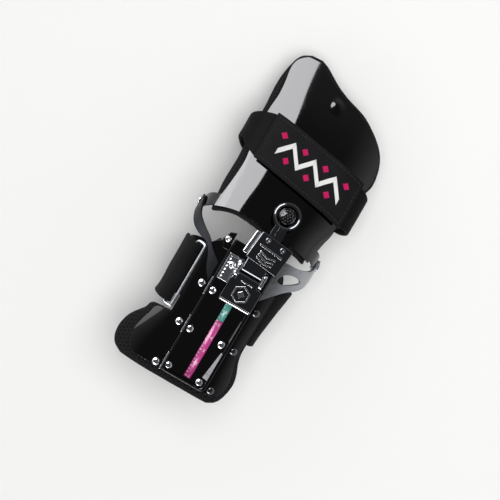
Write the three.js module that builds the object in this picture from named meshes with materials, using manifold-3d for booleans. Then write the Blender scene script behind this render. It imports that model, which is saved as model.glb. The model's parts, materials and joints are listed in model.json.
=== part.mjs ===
// Bowling wrist positioner: a hand plate and a forearm plate on padded liners, hinged at both sides
// of the wrist, with a carriage on a rail that sets the cup of the wrist through a link arm.
// Millimetres. +X points to the little finger's side, +Y towards the fingers, +Z away from the table.
// The origin is the middle of the wrist strap's flat underside, where the part rests.

import * as THREE from "three";
import { mergeVertices } from "three/addons/utils/BufferGeometryUtils.js";
import Module from "manifold-3d";

const wasm = await Module();
wasm.setup();

// Driving sizes
const HAND_LENGTH = 122; // hinge line to the tip of the hand liner
const HAND_HALF = 48; // half the width of the hand liner
const FOREARM_REACH = 115; // hinge line to the lower rim of the forearm liner
const FOREARM_HALF = 45; // half the width of the forearm liner
const HALF_SPAN = 44.6; // middle of the wrist to the outer ears, at the pivots
const STRAP_BACK = 46; // hinge line back to the middle of the wrist strap
const PIVOT_HEIGHT = 30; // wrist pivots above the table
const CROWN = 22; // wrist pivots up to the skin side of the liners
const CUP = THREE.MathUtils.degToRad(15); // how far the fingers droop at rest
const LINER = 4;
const PLATE = 1.4;
const ARM_SHEET = 1.5;
const GAP = 0.3; // between pieces that touch
const CLOTH_FIT = 0.5; // webbing that lies over a curved plate
const STRAP = 2.7; // thickness of the wrist strap's webbing
const STRAP_WIDTH = 44;
const BAR = 2.4; // wire of the loop that the strap turns round
const PALM_STRAP = 2.4;
const PALM_STRAP_WIDTH = 34;
const TAB = 2; // thickness of the stitched tab on the palm strap

const RAIL_LEFT = -13.3;
const RAIL_WIDTH = 33.8;
const RAIL_FLOOR = 1.5;
const RAIL_WALL = 4.2; // height of the rail's walls from under its floor
const RAIL_WALL_LEFT = 1.5;
const RAIL_WALL_RIGHT = 2.4;
const RAIL_TOP_BACK = 8; // hinge line back to the rail's open end
const RAIL_LIP = 1.6;
const RAIL_CORNER = 4;

const SLIDE_FIT = 0.4; // running clearance of the carriage
const BLOCK_WIDTH = 22;
const BLOCK_LENGTH = 22;
const BLOCK_HEIGHT = 7.2;
const BLOCK_X = 8.2;
const LINK_PIN_BACK = 20.5;
const LINK_PIN_RISE = 7.8; // carriage floor up to the link pin
const LINK_PIN_RADIUS = 1.5;
const LEVER_PIN_RADIUS = 1.1;
const BALL_X = 9;
const BALL_AHEAD = 21.8; // hinge line to the ball, seen from above
const BALL_RISE = 6.5; // hand plate up to the middle of the ball
const BALL_RADIUS = 5.8;
const EYE_RADIUS = 9.5;
const EYE_CLEARANCE = 1.2; // the open pivot between the ball and the eye
const ARM_HEIGHT = 4.6;
const CLAMP_WIDTH = 24;
const CLAMP_LENGTH = 20;
const CLAMP_HEIGHT = 7.5;
const CLAMP_TURN = THREE.MathUtils.degToRad(-6);
const RIVET_RADIUS = 2.7;
const RIVET_HEIGHT = 1.5;
const PIVOT_RADIUS = 1.6;
const PIVOT_HEAD = 3.2;
const PIVOT_CAP = 1.2; // thickness of the pins' heads
const WELD = 0.05; // shapes joined into one solid keep their faces this far apart

// Heights that follow
const LINER_TOP = LINER;
const PLATE_LOW = LINER_TOP + GAP;
const PLATE_TOP = PLATE_LOW + PLATE;
const ARM_LOW = PLATE_TOP + GAP;
const ARM_TOP = ARM_LOW + ARM_SHEET;
const SKIN_Z = PIVOT_HEIGHT + CROWN;
const HINGE_Y = STRAP_BACK;
const RAIL_Z = SKIN_Z + ARM_LOW;
const RAIL_FLOOR_Z = RAIL_Z + RAIL_FLOOR;
const CARRIAGE_Z = RAIL_FLOOR_Z + GAP;

const mix = (a, b, t) => a + (b - a) * t;
const clamp = (v, lo, hi) => Math.min(hi, Math.max(lo, v));

// A value from a table's column, on a smooth curve through its rows
function along(rows, key, at, column) {
  const last = rows.length - 1;
  const t = clamp(at, rows[0][key], rows[last][key]);
  let i = 0;
  while (i < last - 1 && t > rows[i + 1][key]) i += 1;
  const slope = (k) => {
    const a = rows[Math.max(k - 1, 0)];
    const b = rows[Math.min(k + 1, last)];
    return (b[column] - a[column]) / (b[key] - a[key]);
  };
  const p = rows[i];
  const q = rows[i + 1];
  const span = q[key] - p[key];
  const f = (t - p[key]) / span;
  const f2 = f * f;
  const f3 = f2 * f;
  return (
    (2 * f3 - 3 * f2 + 1) * p[column] +
    (f3 - 2 * f2 + f) * span * slope(i) +
    (3 * f2 - 2 * f3) * q[column] +
    (f3 - f2) * span * slope(i + 1)
  );
}

// Closed meshes from rings and grids of points

function meshFrom(points, faces) {
  const g = new THREE.BufferGeometry();
  g.setAttribute("position", new THREE.Float32BufferAttribute(points.flat(), 3));
  g.setIndex(faces.flat());
  let volume = 0;
  for (const [a, b, c] of faces) {
    const [p, q, r] = [points[a], points[b], points[c]];
    volume += p[0] * (q[1] * r[2] - q[2] * r[1]);
    volume += p[1] * (q[2] * r[0] - q[0] * r[2]);
    volume += p[2] * (q[0] * r[1] - q[1] * r[0]);
  }
  if (volume < 0) g.setIndex(faces.map(([a, b, c]) => [a, c, b]).flat());
  return g;
}

// A sheet with thickness: point(i, j, side) gives its two faces, side 0 and 1.
// A sheet that is closed runs round and meets itself along i.
function sheet(rows, columns, point, closed = false) {
  const points = [];
  const faces = [];
  const lines = closed ? rows : rows + 1;
  const at = (i, j, side) => ((i % lines) * (columns + 1) + j) * 2 + side;
  for (let i = 0; i < lines; i += 1) {
    for (let j = 0; j <= columns; j += 1) {
      points.push(point(i / rows, j / columns, 0), point(i / rows, j / columns, 1));
    }
  }
  const quad = (a, b, c, d) => faces.push([a, b, c], [a, c, d]);
  for (let i = 0; i < rows; i += 1) {
    for (let j = 0; j < columns; j += 1) {
      quad(at(i, j, 1), at(i + 1, j, 1), at(i + 1, j + 1, 1), at(i, j + 1, 1));
      quad(at(i, j, 0), at(i, j + 1, 0), at(i + 1, j + 1, 0), at(i + 1, j, 0));
    }
    quad(at(i, 0, 0), at(i + 1, 0, 0), at(i + 1, 0, 1), at(i, 0, 1));
    quad(at(i, columns, 1), at(i + 1, columns, 1), at(i + 1, columns, 0), at(i, columns, 0));
  }
  if (!closed) {
    for (let j = 0; j < columns; j += 1) {
      quad(at(0, j, 0), at(0, j, 1), at(0, j + 1, 1), at(0, j + 1, 0));
      quad(at(rows, j, 0), at(rows, j + 1, 0), at(rows, j + 1, 1), at(rows, j, 1));
    }
  }
  return meshFrom(points, faces);
}

// Extrusions: shapes are drawn in the plane across the direction they run in

function extrudeZ(shape, z0, z1, bevel = 0) {
  const g = new THREE.ExtrudeGeometry(shape, {
    depth: z1 - z0 - 2 * bevel,
    bevelEnabled: bevel > 0,
    bevelThickness: bevel,
    bevelSize: bevel,
    bevelOffset: -bevel,
    bevelSegments: 1,
    curveSegments: 8,
  });
  g.translate(0, 0, z0 + bevel);
  return g;
}

function extrudeX(shape, x0, x1) {
  const g = extrudeZ(shape, x0, x1);
  g.applyMatrix4(new THREE.Matrix4().set(0, 0, 1, 0, 1, 0, 0, 0, 0, 1, 0, 0, 0, 0, 0, 1));
  return g;
}

function outline(points) {
  return new THREE.Shape(points.map(([x, y]) => new THREE.Vector2(x, y)));
}

function rectangle(x0, y0, x1, y1, corner = 0) {
  if (!corner) return outline([[x0, y0], [x1, y0], [x1, y1], [x0, y1]]);
  const s = new THREE.Shape();
  s.moveTo(x0 + corner, y0);
  s.lineTo(x1 - corner, y0);
  s.absarc(x1 - corner, y0 + corner, corner, -Math.PI / 2, 0);
  s.lineTo(x1, y1 - corner);
  s.absarc(x1 - corner, y1 - corner, corner, 0, Math.PI / 2);
  s.lineTo(x0 + corner, y1);
  s.absarc(x0 + corner, y1 - corner, corner, Math.PI / 2, Math.PI);
  s.lineTo(x0, y0 + corner);
  s.absarc(x0 + corner, y0 + corner, corner, Math.PI, 1.5 * Math.PI);
  return s;
}

function disc(x, y, radius, sides = 12) {
  const points = [];
  for (let k = 0; k < sides; k += 1) {
    const a = (2 * Math.PI * (k + 0.5)) / sides;
    points.push([x + radius * Math.cos(a), y + radius * Math.sin(a)]);
  }
  return outline(points);
}

function pinX(radius, x0, x1, y, z, sides = 12) {
  return extrudeX(disc(y, z, radius, sides), x0, x1);
}

// Booleans

function solid(geometry) {
  const g = geometry.clone();
  g.deleteAttribute("normal");
  g.deleteAttribute("uv");
  const merged = mergeVertices(g, 1e-4);
  return new wasm.Manifold(
    new wasm.Mesh({
      numProp: 3,
      vertProperties: new Float32Array(merged.attributes.position.array),
      triVerts: new Uint32Array(merged.index.array),
    })
  );
}

function geometryOf(manifold) {
  const m = manifold.getMesh();
  const g = new THREE.BufferGeometry();
  g.setAttribute("position", new THREE.BufferAttribute(new Float32Array(m.vertProperties), 3));
  g.setIndex(new THREE.BufferAttribute(new Uint32Array(m.triVerts), 1));
  return g;
}

const joined = (...parts) => geometryOf(parts.map(solid).reduce((a, b) => a.add(b)));
const cut = (body, ...tools) =>
  geometryOf(tools.map(solid).reduce((a, b) => a.subtract(b), solid(body)));

// Materials

const metal = (color, roughness) =>
  new THREE.MeshStandardMaterial({ color, roughness, metalness: 1 });
const plain = (color, roughness) =>
  new THREE.MeshStandardMaterial({ color, roughness, metalness: 0 });

const blackNickel = metal(0x2b2b2d, 0.16);
const chrome = metal(0xc9cbce, 0.12);
const satin = metal(0xa9abad, 0.3);
const spacerMesh = plain(0x1c1c1d, 0.9);
const webbing = plain(0x19191a, 0.85);
const pinkFilm = plain(0xc0408f, 0.45);
const tealFilm = plain(0x4fa39a, 0.45);

const group = new THREE.Group();
const forearm = new THREE.Group();
forearm.position.set(0, HINGE_Y, 0);
const hand = new THREE.Group();
hand.position.set(0, HINGE_Y, PIVOT_HEIGHT);
hand.rotation.x = -CUP;
group.add(forearm, hand);

function add(parent, name, geometry, material) {
  const mesh = new THREE.Mesh(geometry, material);
  mesh.name = name;
  parent.add(mesh);
  return mesh;
}

// The arch that both plates follow: flat over the back of the arm, with a round shoulder each side
// that turns straight down where it stands upright. u runs along the skin side of the liner from the
// middle of the arm, and off is the height above it.

const FLAT_LEFT = 16.6;
const FLAT_RIGHT = 17;
const SHOULDER_LEFT = HALF_SPAN - FLAT_LEFT - ARM_LOW;
const SHOULDER_RIGHT = HALF_SPAN - FLAT_RIGHT - ARM_LOW;

function archAt(u, off, flat, radius) {
  const side = Math.sign(u) || 1;
  const past = Math.abs(u) - flat;
  if (past <= 0) return { x: u, z: off };
  const turn = Math.min(past / radius, Math.PI / 2);
  const down = Math.max(past - (radius * Math.PI) / 2, 0);
  return {
    x: side * (flat + (radius + off) * Math.sin(turn)),
    z: (radius + off) * Math.cos(turn) - radius - down,
  };
}

// The inverse: how far along the arch a point lies that is at x when seen from above
function reach(x, off, flat, radius) {
  const past = Math.abs(x) - flat;
  if (past <= 0) return x;
  const share = Math.min(past / (radius + off), 1);
  return Math.sign(x) * (flat + radius * Math.asin(share));
}

// Forearm side: back is the distance from the hinge line towards the elbow, as a share of
// FOREARM_REACH; left and right are the shoulders' radii as shares of those at the pivots.
const FOREARM_ARCH = [
  { back: -0.1, left: 1, right: 1 },
  { back: -0.02, left: 1, right: 1 },
  { back: 0.02, left: 1, right: 1 },
  { back: 0.17, left: 0.92, right: 0.98 },
  { back: 0.4, left: 0.9, right: 0.8 },
  { back: 0.61, left: 0.95, right: 0.7 },
  { back: 0.74, left: 1.5, right: 0.9 },
  { back: 0.87, left: 2.1, right: 1.1 },
  { back: 1, left: 2.2, right: 1.15 },
];

function forearmArch(back, u) {
  const left = u < 0;
  const share = along(FOREARM_ARCH, "back", back / FOREARM_REACH, left ? "left" : "right");
  return {
    flat: left ? FLAT_LEFT : FLAT_RIGHT,
    radius: share * (left ? SHOULDER_LEFT : SHOULDER_RIGHT),
  };
}

function forearmPoint(back, u, off) {
  const { flat, radius } = forearmArch(back, u);
  const p = archAt(u, off, flat, radius);
  return [p.x, -back, SKIN_Z + p.z];
}

function forearmReach(back, x, off) {
  const { flat, radius } = forearmArch(back, x);
  return reach(x, off, flat, radius);
}

// Liner and plate flare out just behind the strap and its loop. FLARE is where, as a share of
// FOREARM_REACH; beside is a place between the hinge line and the flare, behind one past the flare.
const FLARE = (STRAP_BACK + STRAP_WIDTH / 2 + BAR + 5 * GAP) / FOREARM_REACH;
const beside = (share) => share * FLARE;
const behind = (share) => mix(FLARE, 1, share);

// Outlines seen from above: left and right are shares of FOREARM_HALF, back a share of FOREARM_REACH
const FOREARM_LINER = [
  { back: beside(0.184), left: -0.5, right: 0.6 },
  { back: beside(0.24), left: -0.55, right: 0.66 },
  { back: beside(0.32), left: -0.56, right: 0.69 },
  { back: beside(0.64), left: -0.56, right: 0.69 },
  { back: beside(0.96), left: -0.56, right: 0.68 },
  { back: beside(1), left: -0.6, right: 0.68 },
  { back: behind(0.053), left: -0.86, right: 0.68 },
  { back: behind(0.2), left: -0.95, right: 0.71 },
  { back: behind(0.413), left: -1.09, right: 0.79 },
  { back: behind(0.573), left: -1.145, right: 0.82 },
  { back: behind(0.733), left: -1.155, right: 0.8 },
  { back: behind(0.867), left: -1.12, right: 0.755 },
  { back: behind(0.947), left: -1.05, right: 0.69 },
  { back: behind(1), left: -0.93, right: 0.58 },
];
const FOREARM_PLATE = [
  { back: beside(0.184), left: -0.46, right: 0.56 },
  { back: beside(0.24), left: -0.56, right: 0.62 },
  { back: beside(0.32), left: -0.58, right: 0.64 },
  { back: beside(0.64), left: -0.58, right: 0.64 },
  { back: beside(0.96), left: -0.58, right: 0.63 },
  { back: beside(1), left: -0.6, right: 0.63 },
  { back: behind(0.053), left: -0.78, right: 0.63 },
  { back: behind(0.2), left: -0.84, right: 0.64 },
  { back: behind(0.413), left: -0.9, right: 0.7 },
  { back: behind(0.573), left: -0.92, right: 0.73 },
  { back: behind(0.733), left: -0.88, right: 0.71 },
  { back: behind(0.827), left: -0.8, right: 0.66 },
  { back: behind(0.867), left: -0.7, right: 0.58 },
];

function forearmSheet(table, low, high, rows, columns) {
  const first = table[0].back;
  const last = table[table.length - 1].back;
  const steps = [];
  for (let i = 0; i < table.length - 1; i += 1) {
    const per = Math.max(1, Math.round((rows * (table[i + 1].back - table[i].back)) / (last - first)));
    for (let k = 0; k < per; k += 1) steps.push(mix(table[i].back, table[i + 1].back, k / per));
  }
  steps.push(last);
  return sheet(steps.length - 1, columns, (fi, fj, side) => {
    const share = steps[Math.round(fi * (steps.length - 1))];
    const back = share * FOREARM_REACH;
    const l = along(table, "back", share, "left") * FOREARM_HALF;
    const r = along(table, "back", share, "right") * FOREARM_HALF;
    const u = mix(forearmReach(back, l, high), forearmReach(back, r, high), fj);
    return forearmPoint(back, u, side ? high : low);
  });
}

const forearmLiner = forearmSheet(FOREARM_LINER, 0, LINER_TOP, 14, 14);
add(forearm, "forearm_liner", forearmLiner, spacerMesh);
const forearmPlate = forearmSheet(FOREARM_PLATE, PLATE_LOW, PLATE_TOP, 14, 14);
add(forearm, "forearm_plate", forearmPlate, blackNickel);

// Rail: a shallow channel open towards the hand, with a lip at its lower end

const RAIL_RIGHT = RAIL_LEFT + RAIL_WIDTH;
const RAIL_END = 0.945 * FOREARM_REACH;
const SLOT_LEFT = RAIL_LEFT + RAIL_WALL_LEFT;
const SLOT_RIGHT = RAIL_RIGHT - RAIL_WALL_RIGHT;

function channelOutline(inset, open) {
  const s = new THREE.Shape();
  const left = RAIL_LEFT + (inset ? RAIL_WALL_LEFT : 0);
  const right = RAIL_RIGHT - (inset ? RAIL_WALL_RIGHT : 0);
  const low = -RAIL_END + (inset ? RAIL_LIP : 0);
  const corner = RAIL_CORNER - (inset ? RAIL_WALL_LEFT : 0);
  s.moveTo(left, open);
  s.lineTo(left, low + corner);
  s.absarc(left + corner, low + corner, corner, Math.PI, 1.5 * Math.PI);
  s.lineTo(right - corner, low);
  s.absarc(right - corner, low + corner, corner, 1.5 * Math.PI, 2 * Math.PI);
  s.lineTo(right, open);
  return s;
}

const railBody = extrudeZ(channelOutline(false, -RAIL_TOP_BACK), RAIL_Z, RAIL_Z + RAIL_WALL);
const railHollow = extrudeZ(channelOutline(true, 0), RAIL_FLOOR_Z, RAIL_Z + 2 * RAIL_WALL);

// Tab on the plate's front corner, beside the rail's open end, with its screw.
// out is a share of the tab's reach from the rail, back a share of FOREARM_REACH.
const FRONT_TAB_SHEET = 1.5;
const FRONT_TAB_REACH = 7;
const FRONT_TAB_RIGHT = RAIL_LEFT - GAP;
const FRONT_TAB = [
  { out: 0, back: 0.15 },
  { out: 0, back: 0.035 },
  { out: 0.64, back: 0.05 },
  { out: 1, back: 0.1 },
  { out: 0.57, back: 0.15 },
];
const frontTab = outline(
  FRONT_TAB.map((p) => [FRONT_TAB_RIGHT - p.out * FRONT_TAB_REACH, -p.back * FOREARM_REACH])
);
add(forearm, "front_tab", extrudeZ(frontTab, RAIL_Z, RAIL_Z + FRONT_TAB_SHEET), blackNickel);

// Scale strip, in two colours, flush in a groove along the rail's floor

const SCALE_X = 5.5;
const SCALE_WIDTH = 4.8;
const SCALE_FILM = 0.6;
const SCALE_LOW_BACK = 0.913 * FOREARM_REACH;
const SCALE_JOIN_BACK = 0.53 * FOREARM_REACH;
const SCALE_HIGH_BACK = 0.33 * FOREARM_REACH;

function alongRail(backLow, backHigh, half, low, high) {
  return extrudeZ(rectangle(SCALE_X - half, -backLow, SCALE_X + half, -backHigh), low, high);
}

function film(backLow, backHigh) {
  const low = RAIL_FLOOR_Z - SCALE_FILM;
  return alongRail(backLow, backHigh, SCALE_WIDTH / 2, low, RAIL_FLOOR_Z);
}

const groove = alongRail(
  SCALE_LOW_BACK + GAP,
  SCALE_HIGH_BACK - GAP,
  SCALE_WIDTH / 2 + GAP,
  RAIL_FLOOR_Z - SCALE_FILM - GAP,
  RAIL_FLOOR_Z + RAIL_WALL
);
add(forearm, "rail", cut(railBody, railHollow, groove), blackNickel);
add(forearm, "scale_low", film(SCALE_LOW_BACK, SCALE_JOIN_BACK), pinkFilm);
add(forearm, "scale_high", film(SCALE_JOIN_BACK - GAP, SCALE_HIGH_BACK), tealFilm);

// Rivets: domed heads in four rows, on the wings and inside the rail

function dome(radius, height, sides = 10) {
  const points = [new THREE.Vector2(0, 0), new THREE.Vector2(radius, 0)];
  for (const share of [0.35, 0.7]) {
    const a = (share * Math.PI) / 2;
    points.push(new THREE.Vector2(radius * Math.cos(a), height * Math.sin(a)));
  }
  points.push(new THREE.Vector2(0, height));
  const g = new THREE.LatheGeometry(points, sides);
  g.rotateX(Math.PI / 2);
  return g;
}

const RIVET_ROWS = [
  { name: "wing_left", x: -0.39, backs: [0.39, 0.652, 0.925], on: "plate" },
  { name: "rail_left", x: -0.205, backs: [0.395, 0.655, 0.905], on: "rail" },
  { name: "rail_right", x: 0.325, backs: [0.647, 0.905], on: "rail" },
  { name: "wing_right", x: 0.537, backs: [0.39, 0.65, 0.918], on: "plate" },
];

for (const row of RIVET_ROWS) {
  row.backs.forEach((share, k) => {
    const x = row.x * FOREARM_HALF;
    const back = share * FOREARM_REACH;
    const mesh = add(forearm, `rivet_${row.name}_${k + 1}`, dome(RIVET_RADIUS, RIVET_HEIGHT), chrome);
    if (row.on === "rail") {
      mesh.position.set(x, -back, RAIL_FLOOR_Z + GAP);
      return;
    }
    const { flat, radius } = forearmArch(back, x);
    const u = reach(x, ARM_LOW, flat, radius);
    const turn = clamp((Math.abs(u) - flat) / radius, 0, Math.PI / 2);
    mesh.position.set(...forearmPoint(back, u, ARM_LOW));
    mesh.rotation.y = Math.sign(x) * turn;
  });
}

const TAB_SCREW_RADIUS = 2.2;
const TAB_SCREW_HEIGHT = 1.6;
const tabScrewHead = dome(TAB_SCREW_RADIUS, TAB_SCREW_HEIGHT, 6);
const tabScrew = add(forearm, "tab_screw", tabScrewHead, chrome);
tabScrew.position.set(
  FRONT_TAB_RIGHT - FRONT_TAB_REACH / 2,
  -0.09 * FOREARM_REACH,
  RAIL_Z + FRONT_TAB_SHEET + GAP
);

// Side arms of the forearm plate. Each row crosses the arm: at is how far it lies from the arm's
// root to the end below the pivot, front and rear are its edges as shares of FOREARM_REACH.
const EAR_BELOW = 5; // the ears end this far below the pivot

function sideArm(side, rootX, table, rows) {
  const start = forearmReach(0, rootX, ARM_TOP);
  const flat = side < 0 ? FLAT_LEFT : FLAT_RIGHT;
  const shoulder = side < 0 ? SHOULDER_LEFT : SHOULDER_RIGHT;
  const drop = CROWN - shoulder + EAR_BELOW;
  const end = side * (flat + (shoulder * Math.PI) / 2 + drop);
  return sheet(rows, 4, (fi, fj, face) => {
    const u = mix(start, end, fi);
    const front = along(table, "at", fi, "front") * FOREARM_REACH;
    const rear = along(table, "at", fi, "rear") * FOREARM_REACH;
    return forearmAcross(mix(front, rear, fj), u, face ? ARM_TOP : ARM_LOW, fi);
  });
}

// Past this share of its run the arm keeps the pivots' own arch, so that its ear stands upright
const ARM_UPRIGHT = 0.55;

function forearmAcross(back, u, off, share) {
  const [x, , z] = forearmPoint(mix(back, 0, Math.min(share / ARM_UPRIGHT, 1)), u, off);
  return [x, -back, z];
}

const ARM_LEFT = [
  { at: 0, front: 0.24, rear: 0.36 },
  { at: 0.1, front: 0.205, rear: 0.3 },
  { at: 0.18, front: 0.17, rear: 0.215 },
  { at: 0.26, front: 0.135, rear: 0.174 },
  { at: 0.42, front: 0.095, rear: 0.155 },
  { at: 0.6, front: 0.045, rear: 0.125 },
  { at: 0.75, front: -0.03, rear: 0.085 },
  { at: 0.9, front: -0.042, rear: 0.05 },
  { at: 0.97, front: -0.03, rear: 0.034 },
  { at: 1, front: -0.014, rear: 0.016 },
];
const ARM_RIGHT = [
  { at: 0, front: 0.045, rear: 0.315 },
  { at: 0.15, front: 0.045, rear: 0.25 },
  { at: 0.3, front: 0.045, rear: 0.2 },
  { at: 0.5, front: 0.035, rear: 0.165 },
  { at: 0.65, front: 0.01, rear: 0.13 },
  { at: 0.78, front: -0.03, rear: 0.07 },
  { at: 0.9, front: -0.042, rear: 0.045 },
  { at: 0.97, front: -0.03, rear: 0.032 },
  { at: 1, front: -0.014, rear: 0.016 },
];

const EAR_OUT = HALF_SPAN + ARM_SHEET;
const PIVOT_HOLE = PIVOT_RADIUS + SLIDE_FIT;

function pivotHole(side) {
  const x = side * HALF_SPAN;
  const deep = 4 * ARM_SHEET;
  return pinX(PIVOT_HOLE, x - deep, x + deep, 0, PIVOT_HEIGHT);
}

const armLeft = sideArm(-1, RAIL_LEFT - GAP - ARM_SHEET, ARM_LEFT, 14);
add(forearm, "arm_left", cut(armLeft, pivotHole(-1)), blackNickel);

// The right arm is a wishbone: its two legs leave a window beside the rail
const WINDOW = [
  { x: 0.5, back: 0.105 },
  { x: 0.66, back: 0.115 },
  { x: 0.78, back: 0.155 },
  { x: 0.6, back: 0.17 },
  { x: 0.5, back: 0.2 },
];
const windowShape = outline(WINDOW.map((p) => [p.x * FOREARM_HALF, -p.back * FOREARM_REACH]));
const windowTool = extrudeZ(windowShape, PIVOT_HEIGHT, RAIL_Z + 2 * RAIL_WALL);
const armRight = sideArm(1, RAIL_RIGHT + SLIDE_FIT, ARM_RIGHT, 14);
add(forearm, "arm_right", cut(armRight, pivotHole(1), windowTool), satin);

// Pivot pins, each with a head outside the ear and a smaller one inside the hand plate's ear
function pivotPin(side) {
  const out = side * (EAR_OUT + GAP);
  const within = side * (HALF_SPAN - ARM_LOW + PLATE_LOW - GAP);
  const cap = side * PIVOT_CAP;
  const bar = (r, a, b) => pinX(r, Math.min(a, b), Math.max(a, b), 0, PIVOT_HEIGHT);
  return joined(
    bar(PIVOT_RADIUS, within - cap / 2, out + cap / 2),
    bar(PIVOT_HEAD, out, out + cap),
    bar(PIVOT_HEAD - 0.5, within - cap, within)
  );
}

add(forearm, "pivot_left", pivotPin(-1), chrome);
add(forearm, "pivot_right", pivotPin(1), chrome);

// Wrist strap: sewn at the right edge of the liner, it runs round under the wrist, comes up on the
// left, turns round the outer bar of a wire loop and lies back over itself.

const STRAP_SHARE = STRAP_BACK / FOREARM_REACH;
const PLATE_EDGE_X = along(FOREARM_PLATE, "back", STRAP_SHARE, "left") * FOREARM_HALF;
const SEAM_X = along(FOREARM_LINER, "back", STRAP_SHARE, "right") * FOREARM_HALF + GAP;
const BAR_INNER_X = PLATE_EDGE_X - GAP - BAR / 2;
const FOLD_IN = BAR / 2 + GAP;
const BAR_OUTER_X = BAR_INNER_X - BAR / 2 - CLOTH_FIT - STRAP - FOLD_IN;
const BAR_OUTER_OFF = GAP + STRAP + FOLD_IN;
const STRAP_LEFT_FLAT = 20; // flat part of the strap's underside, left of the middle
const STRAP_RIGHT_FLAT = 15;
const STRAP_TAIL_TURN = 0.16; // where the free layer ends, past the left shoulder

// Below the shoulder the strap turns under in a quarter of an ellipse
function underPoint(side, turn, y, off) {
  const { flat, radius } = forearmArch(-y, side);
  const centreX = side < 0 ? -STRAP_LEFT_FLAT : STRAP_RIGHT_FLAT;
  const wide = flat + radius - Math.abs(centreX);
  const top = SKIN_Z - radius;
  const tall = top - STRAP - GAP;
  return [centreX + side * (wide + off) * Math.cos(turn), y, top - (tall + off) * Math.sin(turn)];
}

// Stations of the strap's two faces. The first face is the one on the skin.
function strapStations() {
  const list = [];
  const skin = [GAP, GAP + STRAP];
  const quarter = Math.PI / 2;
  for (let k = 0; k <= 4; k += 1) {
    list.push((y, face) => {
      const { flat, radius } = forearmArch(-y, 1);
      const start = forearmReach(-y, SEAM_X, LINER_TOP) + GAP;
      const u = mix(start, flat + radius * quarter, k / 4);
      return forearmPoint(-y, u, skin[face]);
    });
  }
  for (let k = 1; k <= 5; k += 1) {
    list.push((y, face) => underPoint(1, (quarter * k) / 5, y, skin[face]));
  }
  for (let k = 5; k >= 0; k -= 1) {
    list.push((y, face) => underPoint(-1, (quarter * k) / 5, y, skin[face]));
  }
  for (let k = 1; k <= 3; k += 1) {
    list.push((y, face) => {
      const { flat, radius } = forearmArch(-y, -1);
      const end = forearmReach(-y, BAR_OUTER_X, GAP);
      return forearmPoint(-y, mix(-flat - radius * quarter, end, k / 3), skin[face]);
    });
  }
  return list;
}

// The fold round the bar, then the free layer on top
function foldStations() {
  const list = [];
  const radii = [FOLD_IN + STRAP, FOLD_IN];
  for (let k = 1; k <= 7; k += 1) {
    list.push((y, face) => {
      const u = forearmReach(-y, BAR_OUTER_X, BAR_OUTER_OFF);
      const [x, , z] = forearmPoint(-y, u, BAR_OUTER_OFF);
      const [ax, , az] = forearmPoint(-y, u, BAR_OUTER_OFF + 1);
      const upright = Math.atan2(az - z, ax - x);
      const turn = upright - Math.PI + (Math.PI * k) / 7;
      return [x + radii[face] * Math.cos(turn), y, z + radii[face] * Math.sin(turn)];
    });
  }
  const low = GAP + STRAP + GAP;
  for (let k = 1; k <= 5; k += 1) {
    list.push((y, face) => {
      const { flat, radius } = forearmArch(-y, -1);
      const start = forearmReach(-y, BAR_OUTER_X - FOLD_IN, BAR_OUTER_OFF);
      const rise = (1 - k / 5) ** 2 * (BAR_OUTER_OFF + FOLD_IN - low);
      const u = mix(start, -flat - radius * (Math.PI / 2), k / 5);
      return forearmPoint(-y, u, low + rise + (face ? 0 : STRAP));
    });
  }
  list.push((y, face) => underPoint(-1, STRAP_TAIL_TURN, y, low + (face ? 0 : STRAP)));
  return list;
}

const strapLine = [...strapStations(), ...foldStations()];
const wristStrap = sheet(strapLine.length - 1, 3, (fi, fj, face) => {
  const y = -STRAP_BACK + (fj - 0.5) * STRAP_WIDTH;
  return strapLine[Math.round(fi * (strapLine.length - 1))](y, face);
});
add(forearm, "wrist_strap", wristStrap, webbing);

// Wire loop that the strap turns round
function wireLoop() {
  const sides = 8;
  const front = -STRAP_BACK + STRAP_WIDTH / 2 + BAR / 2 + 2 * GAP;
  const rear = -STRAP_BACK - STRAP_WIDTH / 2 - BAR / 2 - 2 * GAP;
  const corner = 1.5;
  const path = [
    [0, front - corner], [0, front], [1, front], [1, front - corner],
    [1, rear + corner], [1, rear], [0, rear], [0, rear + corner],
  ];
  const centre = ([share, y]) => {
    const x = mix(BAR_INNER_X, BAR_OUTER_X, share);
    const off = mix(PLATE_LOW + PLATE / 2, BAR_OUTER_OFF, share);
    return forearmPoint(-y, forearmReach(-y, x, off), off);
  };
  const ringAt = path.map(centre).map((c) => new THREE.Vector3(...c));
  const n = ringAt.length;
  const points = [];
  const faces = [];
  ringAt.forEach((c, i) => {
    const before = ringAt[(i + n - 1) % n];
    const after = ringAt[(i + 1) % n];
    const ahead = after.clone().sub(before).normalize();
    const up = new THREE.Vector3(0, 0, 1);
    const across = new THREE.Vector3().crossVectors(ahead, up).normalize();
    const lift = new THREE.Vector3().crossVectors(across, ahead).normalize();
    for (let k = 0; k < sides; k += 1) {
      const a = (2 * Math.PI * (k + 0.5)) / sides;
      const p = c.clone();
      p.addScaledVector(across, (BAR / 2) * Math.cos(a));
      p.addScaledVector(lift, (BAR / 2) * Math.sin(a));
      points.push(p.toArray());
    }
  });
  for (let i = 0; i < n; i += 1) {
    for (let k = 0; k < sides; k += 1) {
      const a = i * sides + k;
      const b = i * sides + ((k + 1) % sides);
      const c = ((i + 1) % n) * sides + ((k + 1) % sides);
      const d = ((i + 1) % n) * sides + k;
      faces.push([a, b, c], [a, c, d]);
    }
  }
  return meshFrom(points, faces);
}

add(forearm, "strap_loop", wireLoop(), chrome);

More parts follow.
